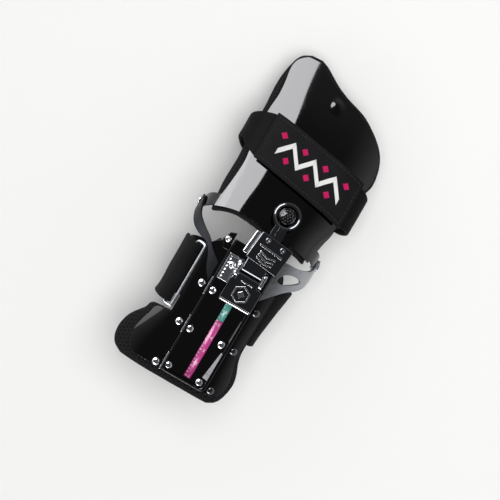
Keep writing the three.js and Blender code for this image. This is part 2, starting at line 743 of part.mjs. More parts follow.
// Hand side, in its own frame with the origin on the hinge line. ahead is a share of HAND_LENGTH,
// left and right of HAND_HALF, shoulder of the radius at the pivots, middle of HAND_HALF too.
const HAND_ARCH = [
  { ahead: -0.15, shoulder: 1, middle: 0, fall: 0 },
  { ahead: 0, shoulder: 1, middle: 0, fall: 0 },
  { ahead: 0.06, shoulder: 1, middle: 0, fall: 0 },
  { ahead: 0.12, shoulder: 1.06, middle: 0.015, fall: 0 },
  { ahead: 0.22, shoulder: 1.28, middle: 0.05, fall: 0 },
  { ahead: 0.4, shoulder: 1.7, middle: 0.08, fall: 0 },
  { ahead: 0.7, shoulder: 1.9, middle: 0.08, fall: 0.01 },
  { ahead: 1, shoulder: 2, middle: 0.06, fall: 0.035 },
];

function handArch(ahead, u) {
  const share = ahead / HAND_LENGTH;
  const left = u < 0;
  return {
    flat: left ? FLAT_LEFT : FLAT_RIGHT,
    radius: along(HAND_ARCH, "ahead", share, "shoulder") * (left ? SHOULDER_LEFT : SHOULDER_RIGHT),
    middle: along(HAND_ARCH, "ahead", share, "middle") * HAND_HALF,
    fall: along(HAND_ARCH, "ahead", share, "fall") * HAND_LENGTH,
  };
}

function handPoint(ahead, u, off) {
  const { flat, radius, middle, fall } = handArch(ahead, u);
  const p = archAt(u, off, flat, radius);
  return [middle + p.x, ahead, CROWN + p.z - fall];
}

function handReach(ahead, x, off) {
  const { middle } = handArch(ahead, 0);
  const { flat, radius } = handArch(ahead, x - middle);
  return reach(x - middle, off, flat, radius);
}

// hem is how far the lower edge's own curve still bends a row
const HAND_LINER = [
  { ahead: -0.02, left: -0.78, right: 0.74, hem: 1 },
  { ahead: 0.05, left: -0.81, right: 0.745, hem: 0.75 },
  { ahead: 0.15, left: -0.83, right: 0.89, hem: 0.3 },
  { ahead: 0.28, left: -0.82, right: 0.92, hem: 0 },
  { ahead: 0.4, left: -0.835, right: 0.96, hem: 0 },
  { ahead: 0.47, left: -0.84, right: 1.02, hem: 0 },
  { ahead: 0.54, left: -0.845, right: 1.07, hem: 0 },
  { ahead: 0.63, left: -0.85, right: 1.035, hem: 0 },
  { ahead: 0.7, left: -0.862, right: 0.945, hem: 0 },
  { ahead: 0.75, left: -0.868, right: 0.815, hem: 0 },
  { ahead: 0.8, left: -0.866, right: 0.63, hem: 0 },
  { ahead: 0.845, left: -0.855, right: 0.42, hem: 0 },
  { ahead: 0.88, left: -0.84, right: 0.14, hem: 0 },
  { ahead: 0.91, left: -0.82, right: -0.04, hem: 0 },
  { ahead: 0.95, left: -0.79, right: -0.21, hem: 0 },
  { ahead: 0.98, left: -0.73, right: -0.33, hem: 0 },
  { ahead: 1, left: -0.62, right: -0.45, hem: 0 },
];
const HAND_PLATE = [
  { ahead: 0, left: -0.76, right: 0.78, hem: 1 },
  { ahead: 0.06, left: -0.75, right: 0.81, hem: 0.75 },
  { ahead: 0.15, left: -0.72, right: 0.86, hem: 0.3 },
  { ahead: 0.28, left: -0.7, right: 0.89, hem: 0 },
  { ahead: 0.4, left: -0.74, right: 0.93, hem: 0 },
  { ahead: 0.47, left: -0.76, right: 0.98, hem: 0 },
  { ahead: 0.54, left: -0.77, right: 1.02, hem: 0 },
  { ahead: 0.63, left: -0.765, right: 0.985, hem: 0 },
  { ahead: 0.7, left: -0.75, right: 0.89, hem: 0 },
  { ahead: 0.75, left: -0.755, right: 0.755, hem: 0 },
  { ahead: 0.795, left: -0.765, right: 0.57, hem: 0 },
  { ahead: 0.835, left: -0.78, right: 0.36, hem: 0 },
  { ahead: 0.865, left: -0.79, right: 0.1, hem: 0 },
  { ahead: 0.9, left: -0.79, right: -0.09, hem: 0 },
  { ahead: 0.935, left: -0.765, right: -0.26, hem: 0 },
  { ahead: 0.96, left: -0.71, right: -0.37, hem: 0 },
  { ahead: 0.978, left: -0.64, right: -0.45, hem: 0 },
];
const HEM = [
  { across: 0, rise: -0.015 },
  { across: 0.22, rise: 0.012 },
  { across: 0.45, rise: 0.004 },
  { across: 0.7, rise: -0.018 },
  { across: 0.86, rise: -0.02 },
  { across: 1, rise: -0.03 },
];

function handSheet(table, low, high, columns) {
  return sheet(table.length - 1, columns, (fi, fj, side) => {
    const row = table[Math.round(fi * (table.length - 1))];
    const hem = row.hem * along(HEM, "across", fj, "rise");
    const ahead = (row.ahead + hem) * HAND_LENGTH;
    const l = handReach(ahead, row.left * HAND_HALF, high);
    const r = handReach(ahead, row.right * HAND_HALF, high);
    return handPoint(ahead, mix(l, r, fj), side ? high : low);
  });
}

// Ears of the hand plate: they fold down inside the forearm's ears to the pivots
const EAR = [
  { at: 0, low: -0.004, high: 0.06 },
  { at: 0.3, low: -0.022, high: 0.056 },
  { at: 0.6, low: -0.036, high: 0.046 },
  { at: 0.86, low: -0.036, high: 0.036 },
  { at: 0.96, low: -0.024, high: 0.024 },
  { at: 1, low: -0.01, high: 0.01 },
];

const EAR_LAP = 1.5; // how far the ears' roots reach into the plate
const EAR_UPRIGHT = 0.45; // past this share of its run an ear keeps the pivots' own arch

function handEar(side) {
  const flat = side < 0 ? FLAT_LEFT : FLAT_RIGHT;
  const shoulder = side < 0 ? SHOULDER_LEFT : SHOULDER_RIGHT;
  const edge = HAND_PLATE[0][side < 0 ? "left" : "right"] * HAND_HALF;
  const start = handReach(0, edge, PLATE_TOP) - side * EAR_LAP;
  const end = side * (flat + (shoulder * Math.PI) / 2 + CROWN - shoulder + EAR_BELOW);
  return sheet(10, 3, (fi, fj, face) => {
    const low = along(EAR, "at", fi, "low") * HAND_LENGTH;
    const high = along(EAR, "at", fi, "high") * HAND_LENGTH;
    const ahead = mix(low, high, fj);
    const off = face ? PLATE_TOP - WELD : PLATE_LOW + WELD;
    const share = 1 - Math.min(fi / EAR_UPRIGHT, 1);
    const [x, , z] = handPoint(ahead * share, mix(start, end, fi), off);
    return [x, ahead, z];
  });
}

function handHole(side) {
  const x = side * HALF_SPAN;
  return pinX(PIVOT_HOLE, x - 4 * PLATE, x + 4 * PLATE, 0, 0);
}

add(hand, "hand_liner", handSheet(HAND_LINER, 0, LINER_TOP, 14), spacerMesh);
const handBlank = joined(handSheet(HAND_PLATE, PLATE_LOW, PLATE_TOP, 14), handEar(-1), handEar(1));
add(hand, "hand_plate", cut(handBlank, handHole(-1), handHole(1)), blackNickel);

// Ball stud: a flanged post with a ball head, in the middle of the link arm's eye

const BALL_Z = CROWN + PLATE_TOP + BALL_RISE;
const BALL_Y = (BALL_AHEAD - BALL_Z * Math.sin(CUP)) / Math.cos(CUP);

const FLANGE_RADIUS = 5;
const FLANGE = 1; // thickness of the stud's flange

function ballStud() {
  const foot = -BALL_RISE + GAP;
  const post = 0.52 * BALL_RADIUS;
  const profile = [
    [0, foot], [FLANGE_RADIUS, foot], [FLANGE_RADIUS, foot + FLANGE], [post, foot + 1.2 * FLANGE],
    [post, -Math.sqrt(BALL_RADIUS ** 2 - post ** 2)],
  ];
  for (const degrees of [-35, -10, 10, 27]) {
    const a = THREE.MathUtils.degToRad(degrees);
    profile.push([BALL_RADIUS * Math.cos(a), BALL_RADIUS * Math.sin(a)]);
  }
  profile.push([0.8 * BALL_RADIUS, 0.53 * BALL_RADIUS], [0, 0.56 * BALL_RADIUS]);
  const g = new THREE.LatheGeometry(profile.map(([r, h]) => new THREE.Vector2(r, h)), 14);
  g.rotateX(Math.PI / 2);
  return g;
}

const stud = add(hand, "ball_stud", ballStud(), chrome);
stud.position.set(BALL_X, BALL_Y, BALL_Z);

// Palm strap: a loop over the hand plate and round under the palm. across is a share of HAND_HALF,
// rise runs from the table, 0, to the top of the hand plate, 1, and wide is a share of its width.
const PALM_LOOP = [
  { across: -0.62, rise: 1, wide: 0.96 },
  { across: -0.4, rise: 1, wide: 1 },
  { across: -0.1, rise: 1, wide: 1 },
  { across: 0.2, rise: 1, wide: 1 },
  { across: 0.5, rise: 1, wide: 1 },
  { across: 0.72, rise: 1, wide: 0.96 },
  { across: 0.9, rise: 1, wide: 0.9 },
  { across: 1.02, rise: 0.93, wide: 0.84 },
  { across: 1.09, rise: 0.77, wide: 0.78 },
  { across: 1.1, rise: 0.5, wide: 0.74 },
  { across: 1.04, rise: 0.24, wide: 0.72 },
  { across: 0.92, rise: 0.07, wide: 0.7 },
  { across: 0.78, rise: 0, wide: 0.7 },
  { across: 0.4, rise: 0, wide: 0.7 },
  { across: 0, rise: 0, wide: 0.7 },
  { across: -0.4, rise: 0, wide: 0.68 },
  { across: -0.62, rise: 0.04, wide: 0.62 },
  { across: -0.82, rise: 0.2, wide: 0.56 },
  { across: -0.93, rise: 0.45, wide: 0.5 },
  { across: -0.955, rise: 0.72, wide: 0.5 },
  { across: -0.91, rise: 0.93, wide: 0.6 },
  { across: -0.79, rise: 1, wide: 0.8 },
];
const PALM_AHEAD = 0.415 * HAND_LENGTH; // middle of the strap on the middle of the hand
const PALM_SLANT = -0.17; // the strap climbs towards the thumb
const PALM_TOP_OFF = PLATE_TOP + CLOTH_FIT;
const PALM_TOP_ROWS = PALM_LOOP.filter((row) => row.rise === 1);
const PALM_LEFT = Math.min(...PALM_TOP_ROWS.map((row) => row.across));
const PALM_RIGHT = Math.max(...PALM_TOP_ROWS.map((row) => row.across));

function tableZ(ahead) {
  return (ahead * Math.sin(CUP) - PIVOT_HEIGHT) / Math.cos(CUP);
}

// On the back of the hand the strap follows the plate. Round the sides and under the palm it runs
// from point to point, its inner face a thickness inside the outer one.
function palmOuter(row, ahead) {
  const x = row.across * HAND_HALF;
  const off = PALM_TOP_OFF + PALM_STRAP;
  const seat = clamp(x, PALM_LEFT * HAND_HALF, PALM_RIGHT * HAND_HALF);
  const top = handPoint(ahead, handReach(ahead, seat, off), off)[2];
  return [x, ahead, mix(tableZ(ahead), top, row.rise)];
}

function palmLoop(rows) {
  const n = rows.length;
  return sheet(n, 2, (fi, fj, face) => {
    const i = Math.round(fi * n) % n;
    const row = rows[i];
    const centre = PALM_AHEAD + PALM_SLANT * row.across * HAND_HALF;
    const ahead = centre + (fj - 0.5) * PALM_STRAP_WIDTH * row.wide;
    const here = palmOuter(row, ahead);
    if (face) return here;
    if (row.rise === 1) {
      const u = handReach(ahead, here[0], PALM_TOP_OFF + PALM_STRAP);
      return handPoint(ahead, u, PALM_TOP_OFF);
    }
    const before = palmOuter(rows[(i + n - 1) % n], ahead);
    const after = palmOuter(rows[(i + 1) % n], ahead);
    const dx = after[0] - before[0];
    const dz = after[2] - before[2];
    const length = Math.hypot(dx, dz);
    return [here[0] + (dz / length) * PALM_STRAP, ahead, here[2] - (dx / length) * PALM_STRAP];
  }, true);
}

add(hand, "palm_strap", palmLoop(PALM_LOOP), webbing);

// Stitched tab that closes the palm strap on the back of the hand
const TAB_FROM_SHARE = -0.62;
const TAB_TO_SHARE = 0.9;
const strapTab = sheet(8, 2, (fi, fj, face) => {
  const across = mix(TAB_FROM_SHARE, TAB_TO_SHARE, fi);
  const x = across * HAND_HALF;
  const ahead = PALM_AHEAD + PALM_SLANT * x + (fj - 0.5) * (PALM_STRAP_WIDTH + 2 * CLOTH_FIT);
  const off = PALM_TOP_OFF + PALM_STRAP + 2 * GAP;
  return handPoint(ahead, handReach(ahead, x, off), off + (face ? TAB : 0));
});
add(hand, "strap_tab", strapTab, webbing);

// Carriage in the rail, with ears for the link pin and the lever pin

const slide = new THREE.Group();
forearm.add(slide);
const LINK_PIN_Y = -LINK_PIN_BACK;
const LINK_PIN_Z = CARRIAGE_Z + LINK_PIN_RISE;
const BASE_HEIGHT = 2.4;
const BLOCK_TOP = CARRIAGE_Z + BLOCK_HEIGHT;
const EAR_SHEET = 2;
const EAR_ROUND = 2.9;
const LEVER_EAR_ROUND = 2.2;
const PIN_SEAT = 3.4; // link pin to the block behind it and to the base's edge ahead
const LEVER_PIN_SEAT = 2.4; // block's front to the lever pin
const PIN_PROUD = 0.8; // how far the pins stand out of the left ear
const BLOCK_LEFT = BLOCK_X - BLOCK_WIDTH / 2;
const BLOCK_RIGHT = SLOT_RIGHT - SLIDE_FIT;
const BLOCK_FRONT = LINK_PIN_Y - PIN_SEAT;
const BLOCK_REAR = BLOCK_FRONT - BLOCK_LENGTH + 1;
const LEVER_PIN_Y = BLOCK_FRONT - LEVER_PIN_SEAT;
const LEVER_PIN_Z = BLOCK_TOP + SLIDE_FIT;
const WING_REAR = BLOCK_FRONT - 12; // the left foot stops short of the rivet in the rail

function pinEar(x0) {
  const s = new THREE.Shape();
  const r = EAR_ROUND;
  s.moveTo(LEVER_PIN_Y - r, CARRIAGE_Z);
  s.lineTo(LINK_PIN_Y + r, CARRIAGE_Z);
  s.lineTo(LINK_PIN_Y + r, LINK_PIN_Z);
  s.absarc(LINK_PIN_Y, LINK_PIN_Z, r, 0, Math.PI / 2);
  s.lineTo(LEVER_PIN_Y, LEVER_PIN_Z + LEVER_EAR_ROUND);
  s.absarc(LEVER_PIN_Y, LEVER_PIN_Z, LEVER_EAR_ROUND, Math.PI / 2, Math.PI);
  s.holes.push(disc(LINK_PIN_Y, LINK_PIN_Z, LINK_PIN_RADIUS + GAP));
  s.holes.push(disc(LEVER_PIN_Y, LEVER_PIN_Z, LEVER_PIN_RADIUS + GAP));
  return extrudeX(s, x0, x0 + EAR_SHEET);
}

const baseShape = outline([
  [BLOCK_LEFT, BLOCK_REAR],
  [BLOCK_RIGHT, BLOCK_REAR],
  [BLOCK_RIGHT, LINK_PIN_Y + PIN_SEAT],
  [SLOT_LEFT + SLIDE_FIT, LINK_PIN_Y + PIN_SEAT],
  [SLOT_LEFT + SLIDE_FIT, WING_REAR],
  [BLOCK_LEFT, WING_REAR],
]);
const EAR_RIGHT_X = BLOCK_RIGHT - EAR_SHEET;
const base = extrudeZ(baseShape, CARRIAGE_Z, CARRIAGE_Z + BASE_HEIGHT);
const KNUCKLE_WALL = 1.2;
const KNUCKLE = LEVER_PIN_RADIUS + KNUCKLE_WALL;
const BLOCK_FACE = LEVER_PIN_Y - KNUCKLE - SLIDE_FIT;
const blockShape = rectangle(BLOCK_LEFT + WELD, BLOCK_REAR + WELD, BLOCK_RIGHT - WELD, BLOCK_FACE);
const block = extrudeZ(blockShape, CARRIAGE_Z + WELD, BLOCK_TOP);
add(slide, "carriage", joined(base, block, pinEar(BLOCK_LEFT), pinEar(EAR_RIGHT_X)), chrome);

const EAR_IN_LEFT = BLOCK_LEFT + EAR_SHEET + GAP;
const EAR_IN_RIGHT = EAR_RIGHT_X - GAP;
const pinEnds = [BLOCK_LEFT - PIN_PROUD, BLOCK_RIGHT + SLIDE_FIT - GAP];
add(slide, "link_pin", pinX(LINK_PIN_RADIUS, ...pinEnds, LINK_PIN_Y, LINK_PIN_Z), chrome);
add(slide, "lever_pin", pinX(LEVER_PIN_RADIUS, ...pinEnds, LEVER_PIN_Y, LEVER_PIN_Z), chrome);

// Index plate beside the carriage, with saw teeth along its outer edge
const TEETH = 7;
const TOOTH_DEPTH = 1;
const INDEX_SHEET = 3.2;
const INDEX_LOW = CARRIAGE_Z + BASE_HEIGHT + GAP;
const INDEX_TOP = INDEX_LOW + INDEX_SHEET;
const INDEX_RIGHT = BLOCK_LEFT - PIN_PROUD - GAP;
const INDEX_FRONT = LINK_PIN_Y + PIN_SEAT - SLIDE_FIT;
const INDEX_REAR = WING_REAR + SLIDE_FIT;
const TOOTH_LEFT = SLOT_LEFT + 4 * SLIDE_FIT;
const toothed = [[INDEX_RIGHT, INDEX_FRONT], [INDEX_RIGHT, INDEX_REAR]];
for (let k = 0; k < TEETH; k += 1) {
  const a = mix(INDEX_REAR, INDEX_FRONT, k / TEETH);
  const b = mix(INDEX_REAR, INDEX_FRONT, (k + 0.7) / TEETH);
  toothed.push([TOOTH_LEFT + TOOTH_DEPTH, a], [TOOTH_LEFT, b]);
}
add(slide, "index_plate", extrudeZ(outline(toothed), INDEX_LOW, INDEX_TOP), chrome);
const INDEX_SCREW_RADIUS = 2.4;
const INDEX_SCREW_HEIGHT = 1.8;
const indexScrewHead = dome(INDEX_SCREW_RADIUS, INDEX_SCREW_HEIGHT, 12);
const indexScrew = add(slide, "index_screw", indexScrewHead, chrome);
indexScrew.position.set(
  (TOOTH_LEFT + BLOCK_LEFT) / 2,
  INDEX_FRONT - 2.5 * INDEX_SCREW_RADIUS,
  INDEX_TOP + GAP
);

// Lock lever: a face plate on the carriage that lifts about the lever pin, with a finger lip
const lever = new THREE.Group();
slide.add(lever);
const LEVER_LOW = BLOCK_TOP + GAP;
const LEVER_SHEET = 2.2;
const LIP = 1.8;
const LIP_DROP = 2;
const FACE_LEFT = BLOCK_LEFT - PIN_PROUD;
const FACE_RIGHT = FACE_LEFT + 1.055 * BLOCK_WIDTH;
const FACE_BEVEL = 0.5;

function lockLever() {
  const top = LEVER_LOW + LEVER_SHEET;
  const wideEnd = LEVER_PIN_Y - EAR_ROUND - SLIDE_FIT;
  const face = rectangle(FACE_LEFT, BLOCK_REAR - LIP, FACE_RIGHT, wideEnd);
  const lip = rectangle(FACE_LEFT, BLOCK_REAR - LIP, FACE_RIGHT, BLOCK_REAR - SLIDE_FIT);
  const root = wideEnd - 2 * FACE_BEVEL; // the knuckle's strip reaches this far into the face
  const s = new THREE.Shape();
  s.moveTo(root, LEVER_LOW + WELD);
  s.lineTo(LEVER_PIN_Y - KNUCKLE, LEVER_LOW + WELD);
  s.absarc(LEVER_PIN_Y, LEVER_PIN_Z, KNUCKLE, Math.PI, 2.5 * Math.PI);
  s.lineTo(LEVER_PIN_Y - KNUCKLE, top - WELD);
  s.lineTo(root, top - WELD);
  s.holes.push(disc(LEVER_PIN_Y, LEVER_PIN_Z, LEVER_PIN_RADIUS + GAP));
  return joined(
    extrudeZ(face, LEVER_LOW, top, FACE_BEVEL),
    extrudeZ(lip, LEVER_LOW - LIP_DROP, top - FACE_BEVEL - WELD),
    extrudeX(s, EAR_IN_LEFT, EAR_IN_RIGHT)
  );
}

add(lever, "lock_lever", lockLever(), chrome);

// Link: a clamp block on the link pin, its screws, and the arm whose eye goes round the ball

const BALL_WORLD_Z =
  PIVOT_HEIGHT + BALL_Z * Math.cos(CUP) - BALL_Y * Math.sin(CUP);
const LINK_RUN = BALL_AHEAD - LINK_PIN_Y;
const LINK_SLOPE = Math.atan2(BALL_WORLD_Z - LINK_PIN_Z, LINK_RUN);
const LINK_LENGTH = Math.hypot(LINK_RUN, BALL_WORLD_Z - LINK_PIN_Z);
const link = new THREE.Group();
link.position.set(0, LINK_PIN_Y, LINK_PIN_Z);
link.rotation.x = LINK_SLOPE;
slide.add(link);

const CLAMP_START = 5.4; // link pin to the block's rear face
const CLAMP_LOW = -2.6;
const CLAMP_MID_X = BALL_X + 1.8; // the block stands a little to the right of its arm
const CLAMP_MID_Y = CLAMP_START + CLAMP_LENGTH / 2;
const SIDE_PLATE = 3.2;
const SHANK_WIDTH = 9;
const SHANK_LOW = -ARM_HEIGHT / 2;
const SOCKET_START = CLAMP_START + 5; // the block's wall behind the arm's root
const LINK_KNUCKLE = LINK_PIN_RADIUS + 1.5;

function clampBlock() {
  const half = [CLAMP_WIDTH / 2, CLAMP_LENGTH / 2];
  const box = extrudeZ(rectangle(-half[0], -half[1], half[0], half[1], 1), 0, CLAMP_HEIGHT, 0.6);
  const knuckle = new THREE.Shape();
  const r = LINK_KNUCKLE;
  knuckle.moveTo(CLAMP_START + r, -r);
  knuckle.lineTo(CLAMP_START + r, r);
  knuckle.lineTo(0, r);
  knuckle.absarc(0, 0, r, Math.PI / 2, 1.5 * Math.PI);
  knuckle.holes.push(disc(0, 0, LINK_PIN_RADIUS + GAP));
  const tongue = extrudeX(knuckle, EAR_IN_LEFT + GAP, EAR_IN_RIGHT - GAP);
  box.rotateZ(CLAMP_TURN);
  box.translate(CLAMP_MID_X, CLAMP_MID_Y, CLAMP_LOW);
  const far = CLAMP_START + 1.2 * CLAMP_LENGTH;
  const slotHalf = SHANK_WIDTH / 2 + GAP;
  const slot = extrudeZ(
    rectangle(BALL_X - slotHalf, SOCKET_START, BALL_X + slotHalf, far),
    2 * CLAMP_LOW,
    SHANK_LOW + ARM_HEIGHT + GAP
  );
  return cut(joined(box, tongue), slot);
}

add(link, "clamp_block", clampBlock(), chrome);

const CLAMP_SCREW_RADIUS = 1.9;
const CLAMP_SCREW_HEIGHT = 1;
[-0.24, 0.24].forEach((share, k) => {
  const head = dome(CLAMP_SCREW_RADIUS, CLAMP_SCREW_HEIGHT, 12);
  const screw = add(link, `clamp_screw_${k + 1}`, head, satin);
  const offset = new THREE.Vector3(share * CLAMP_WIDTH, 0.34 * CLAMP_LENGTH, 0);
  offset.applyAxisAngle(new THREE.Vector3(0, 0, 1), CLAMP_TURN);
  screw.position.set(CLAMP_MID_X + offset.x, CLAMP_MID_Y + offset.y, CLAMP_LOW + CLAMP_HEIGHT + GAP);
});

function sidePlate() {
  const x1 = -CLAMP_WIDTH / 2 - GAP;
  const shape = rectangle(x1 - SIDE_PLATE, -0.42 * CLAMP_LENGTH, x1, 0.44 * CLAMP_LENGTH, 0.8);
  const g = extrudeZ(shape, 0, 0.62 * CLAMP_HEIGHT, 0.4);
  g.rotateZ(CLAMP_TURN);
  g.translate(CLAMP_MID_X, CLAMP_MID_Y, CLAMP_LOW);
  return g;
}

add(link, "clamp_side_plate", sidePlate(), chrome);

const ARM_BEVEL = 0.9;

function linkArm() {
  const s = new THREE.Shape();
  const neck = 0.93 * (SHANK_WIDTH / 2); // half the arm's width where it meets the eye
  const spread = Math.asin(neck / EYE_RADIUS);
  const root = SOCKET_START + GAP;
  const shoulderY = CLAMP_START + 1.12 * CLAMP_LENGTH;
  s.moveTo(BALL_X - SHANK_WIDTH / 2, root);
  s.lineTo(BALL_X + SHANK_WIDTH / 2, root);
  s.lineTo(BALL_X + SHANK_WIDTH / 2, shoulderY);
  s.lineTo(BALL_X + neck, LINK_LENGTH - EYE_RADIUS * Math.cos(spread));
  s.absarc(BALL_X, LINK_LENGTH, EYE_RADIUS, -Math.PI / 2 + spread, 1.5 * Math.PI - spread);
  s.lineTo(BALL_X - SHANK_WIDTH / 2, shoulderY);
  s.holes.push(disc(BALL_X, LINK_LENGTH, BALL_RADIUS + EYE_CLEARANCE, 16));
  return extrudeZ(s, SHANK_LOW, SHANK_LOW + ARM_HEIGHT, ARM_BEVEL);
}

add(link, "link_arm", linkArm(), chrome);

export default group;
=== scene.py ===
# %% [markdown]
# # A bowling wrist positioner
# The real object is a hand plate and a forearm plate of polished sheet metal, each on a padded mesh
# liner. Two side arms hinge them together at the wrist, a carriage on a rail sets how far the wrist
# is cupped, and two straps close round the palm and the wrist. This file dresses that model: every
# place and size stays the frame's, and each piece gets the fine surface of the real one.

# %% Load the frame
import json
import math

import bpy
import numpy as np
from mathutils import Matrix, Vector
from mathutils.geometry import tessellate_polygon


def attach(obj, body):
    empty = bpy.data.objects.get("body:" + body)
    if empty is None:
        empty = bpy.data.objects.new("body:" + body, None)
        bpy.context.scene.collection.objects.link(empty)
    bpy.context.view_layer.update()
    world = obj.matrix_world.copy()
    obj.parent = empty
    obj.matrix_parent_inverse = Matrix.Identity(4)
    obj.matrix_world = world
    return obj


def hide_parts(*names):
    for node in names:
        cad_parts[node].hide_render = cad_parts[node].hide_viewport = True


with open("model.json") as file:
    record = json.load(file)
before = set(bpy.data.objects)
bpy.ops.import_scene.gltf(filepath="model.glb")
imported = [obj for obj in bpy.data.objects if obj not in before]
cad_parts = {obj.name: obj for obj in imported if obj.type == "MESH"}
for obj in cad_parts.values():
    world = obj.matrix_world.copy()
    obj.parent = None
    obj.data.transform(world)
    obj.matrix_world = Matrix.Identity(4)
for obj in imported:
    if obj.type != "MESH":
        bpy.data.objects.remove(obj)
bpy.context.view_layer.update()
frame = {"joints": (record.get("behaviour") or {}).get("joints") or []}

MM = 0.001
joints = {joint["name"]: joint for joint in frame["joints"]}

# %% [markdown]
# ## Sizes
# The sheets are bent to one arch: flat over the back of the arm, a round shoulder on each side, then
# straight down to the pivots. Its sizes are the model's own, in millimetres, so that a fine surface
# lies exactly where the plain solid does. The hinge line comes from the wrist joint.

# %% The sizes of the sheets
_, HINGE_Y, PIVOT_HEIGHT = np.array(joints["wrist_cup"]["pos_m"]) / MM
HAND_LENGTH = 122  # from the hinge line to the fingertip end
HAND_HALF = 48
FOREARM_REACH = 115  # from the hinge line to the elbow end
FOREARM_HALF = 45
HALF_SPAN = 44.6  # from the middle to the inside of an arm at the pivot
STRAP_BACK = 46  # from the hinge line to the middle of the wrist strap
CROWN = 22  # how far the skin's top lies above the pivots
CUP = math.radians(15)  # how far the hand droops at rest
LINER = 4
PLATE = 1.4
ARM_SHEET = 1.5
GAP = 0.3
CLOTH_FIT = 0.5
STRAP = 2.7
STRAP_WIDTH = 44
PALM_STRAP = 2.4
PALM_STRAP_WIDTH = 34
TAB = 2
BAR = 2.4  # the strap loop's wire
FLAT_LEFT = 16.6
FLAT_RIGHT = 17
PLATE_LOW = LINER + GAP
PLATE_TOP = PLATE_LOW + PLATE
ARM_LOW = PLATE_TOP + GAP
ARM_TOP = ARM_LOW + ARM_SHEET
SKIN_Z = PIVOT_HEIGHT + CROWN
SHOULDER_LEFT = HALF_SPAN - FLAT_LEFT - ARM_LOW
SHOULDER_RIGHT = HALF_SPAN - FLAT_RIGHT - ARM_LOW
RAIL_Z = SKIN_Z + ARM_LOW
RAIL_FLOOR_Z = RAIL_Z + 1.5
QUARTER = math.pi / 2
print("hinge line at y", round(float(HINGE_Y), 1), "and the skin's top at z", round(float(SKIN_Z), 1))

# %% [markdown]
# ## Short tables
# A maker drafts an outline from a few measured stations and draws a fair curve through them. The same
# is done here: a table holds a row for each station, and a smooth curve gives what lies between. It
# could also be a long list of points, but a short table can still be read and changed.

# %% Shares and tables


def mix(a, b, t):
    """From a to b as t goes from 0 to 1."""
    return a + (b - a) * t


def smooth(t):
    """From 0 to 1 with a soft start and end."""
    t = np.clip(t, 0, 1)
    return t * t * (3 - 2 * t)


def table(names, *rows):
    """Rows of numbers, kept as columns with names; the first column is the place along the table."""
    return {name: np.array(column, float) for name, column in zip(names.split(), zip(*rows))}


def along(rows, at, column):
    """A value from a table's column, on a smooth curve through its rows."""
    x = next(iter(rows.values()))
    y = rows[column]
    order = np.arange(len(x))
    before = np.maximum(order - 1, 0)
    after = np.minimum(order + 1, len(x) - 1)
    slope = (y[after] - y[before]) / (x[after] - x[before])
    t = np.clip(at, x[0], x[-1])
    i = np.clip(np.searchsorted(x, t) - 1, 0, len(x) - 2)
    span = x[i + 1] - x[i]
    f = (t - x[i]) / span
    value = (2 * f**3 - 3 * f**2 + 1) * y[i] + (f**3 - 2 * f**2 + f) * span * slope[i]
    return value + (3 * f**2 - 2 * f**3) * y[i + 1] + (f**3 - f**2) * span * slope[i + 1]

print("a smooth step at a quarter is", round(float(smooth(0.25)), 3))

# %% [markdown]
# ## The arch
# A sheet metal worker would bend this over two rollers. Here u runs over the skin from the middle of
# the arm, and off is the height above it, so one formula gives the liner, the plate on it and the
# arms on that. The radii change along the arm, and a short table says how.

# %% The arch's formula


def arch(u, off, flat, radius):
    """Where a point of the arch lies: across the arm, and above the skin's crown."""
    past = np.abs(u) - flat
    turn = np.clip(past / radius, 0, QUARTER)
    down = np.maximum(past - radius * QUARTER, 0)
    x = np.where(past <= 0, u, np.sign(u) * (flat + (radius + off) * np.sin(turn)))
    z = np.where(past <= 0, off, (radius + off) * np.cos(turn) - radius - down)
    return x, z


def reach(x, off, flat, radius):
    """How far along the arch a point lies that is at x when seen from above."""
    past = np.abs(x) - flat
    share = np.clip(past / (radius + off), 0, 1)
    return np.where(past <= 0, x, np.sign(x) * (flat + radius * np.arcsin(share)))


def stack(*axes):
    """Separate coordinates as points."""
    return np.stack(np.broadcast_arrays(*axes), axis=-1)


shoulder_end = FLAT_LEFT + SHOULDER_LEFT * QUARTER
print("from the middle to the end of the left shoulder is", round(float(shoulder_end), 1), "mm of skin")

# %% [markdown]
# ## The forearm's arch and the hand's
# The forearm is wider behind the wrist on the thumb's side, and the hand grows flatter toward the
# fingers and leans a little. Each table gives the shoulders' radii as shares of those at the wrist.
# The hand's arch is worked out level and then turned down about the hinge line.

# %% The forearm's arch and the hand's
FOREARM_ARCH = table(
    "back left right",
    (-0.1, 1, 1), (-0.02, 1, 1), (0.02, 1, 1), (0.17, 0.92, 0.98), (0.4, 0.9, 0.8),
    (0.61, 0.95, 0.7), (0.74, 1.5, 0.9), (0.87, 2.1, 1.1), (1, 2.2, 1.15),
)
HAND_ARCH = table(
    "ahead shoulder middle fall",
    (-0.15, 1, 0, 0), (0, 1, 0, 0), (0.06, 1, 0, 0), (0.12, 1.06, 0.015, 0), (0.22, 1.28, 0.05, 0),
    (0.4, 1.7, 0.08, 0), (0.7, 1.9, 0.08, 0.01), (1, 2, 0.06, 0.035),
)


def bend(u, left_share, right_share):
    """The flat half-width and the shoulder's radius on the side that u lies on."""
    left = np.asarray(u) < 0
    flat = np.where(left, FLAT_LEFT, FLAT_RIGHT)
    return flat, np.where(left, SHOULDER_LEFT * left_share, SHOULDER_RIGHT * right_share)


def forearm_bend(back, u):
    """The flat half-width and the radius on the forearm, back from the hinge line."""
    share = back / FOREARM_REACH
    return bend(u, along(FOREARM_ARCH, share, "left"), along(FOREARM_ARCH, share, "right"))


def forearm_point(back, u, off, arch_back=None):
    """A point over the forearm; arch_back takes the arch of another station."""
    x, z = arch(u, off, *forearm_bend(back if arch_back is None else arch_back, u))
    return stack(x, HINGE_Y - back, SKIN_Z + z)


def forearm_reach(back, x, off):
    """How far along the forearm's arch a point at x lies."""
    return reach(x, off, *forearm_bend(back, x))


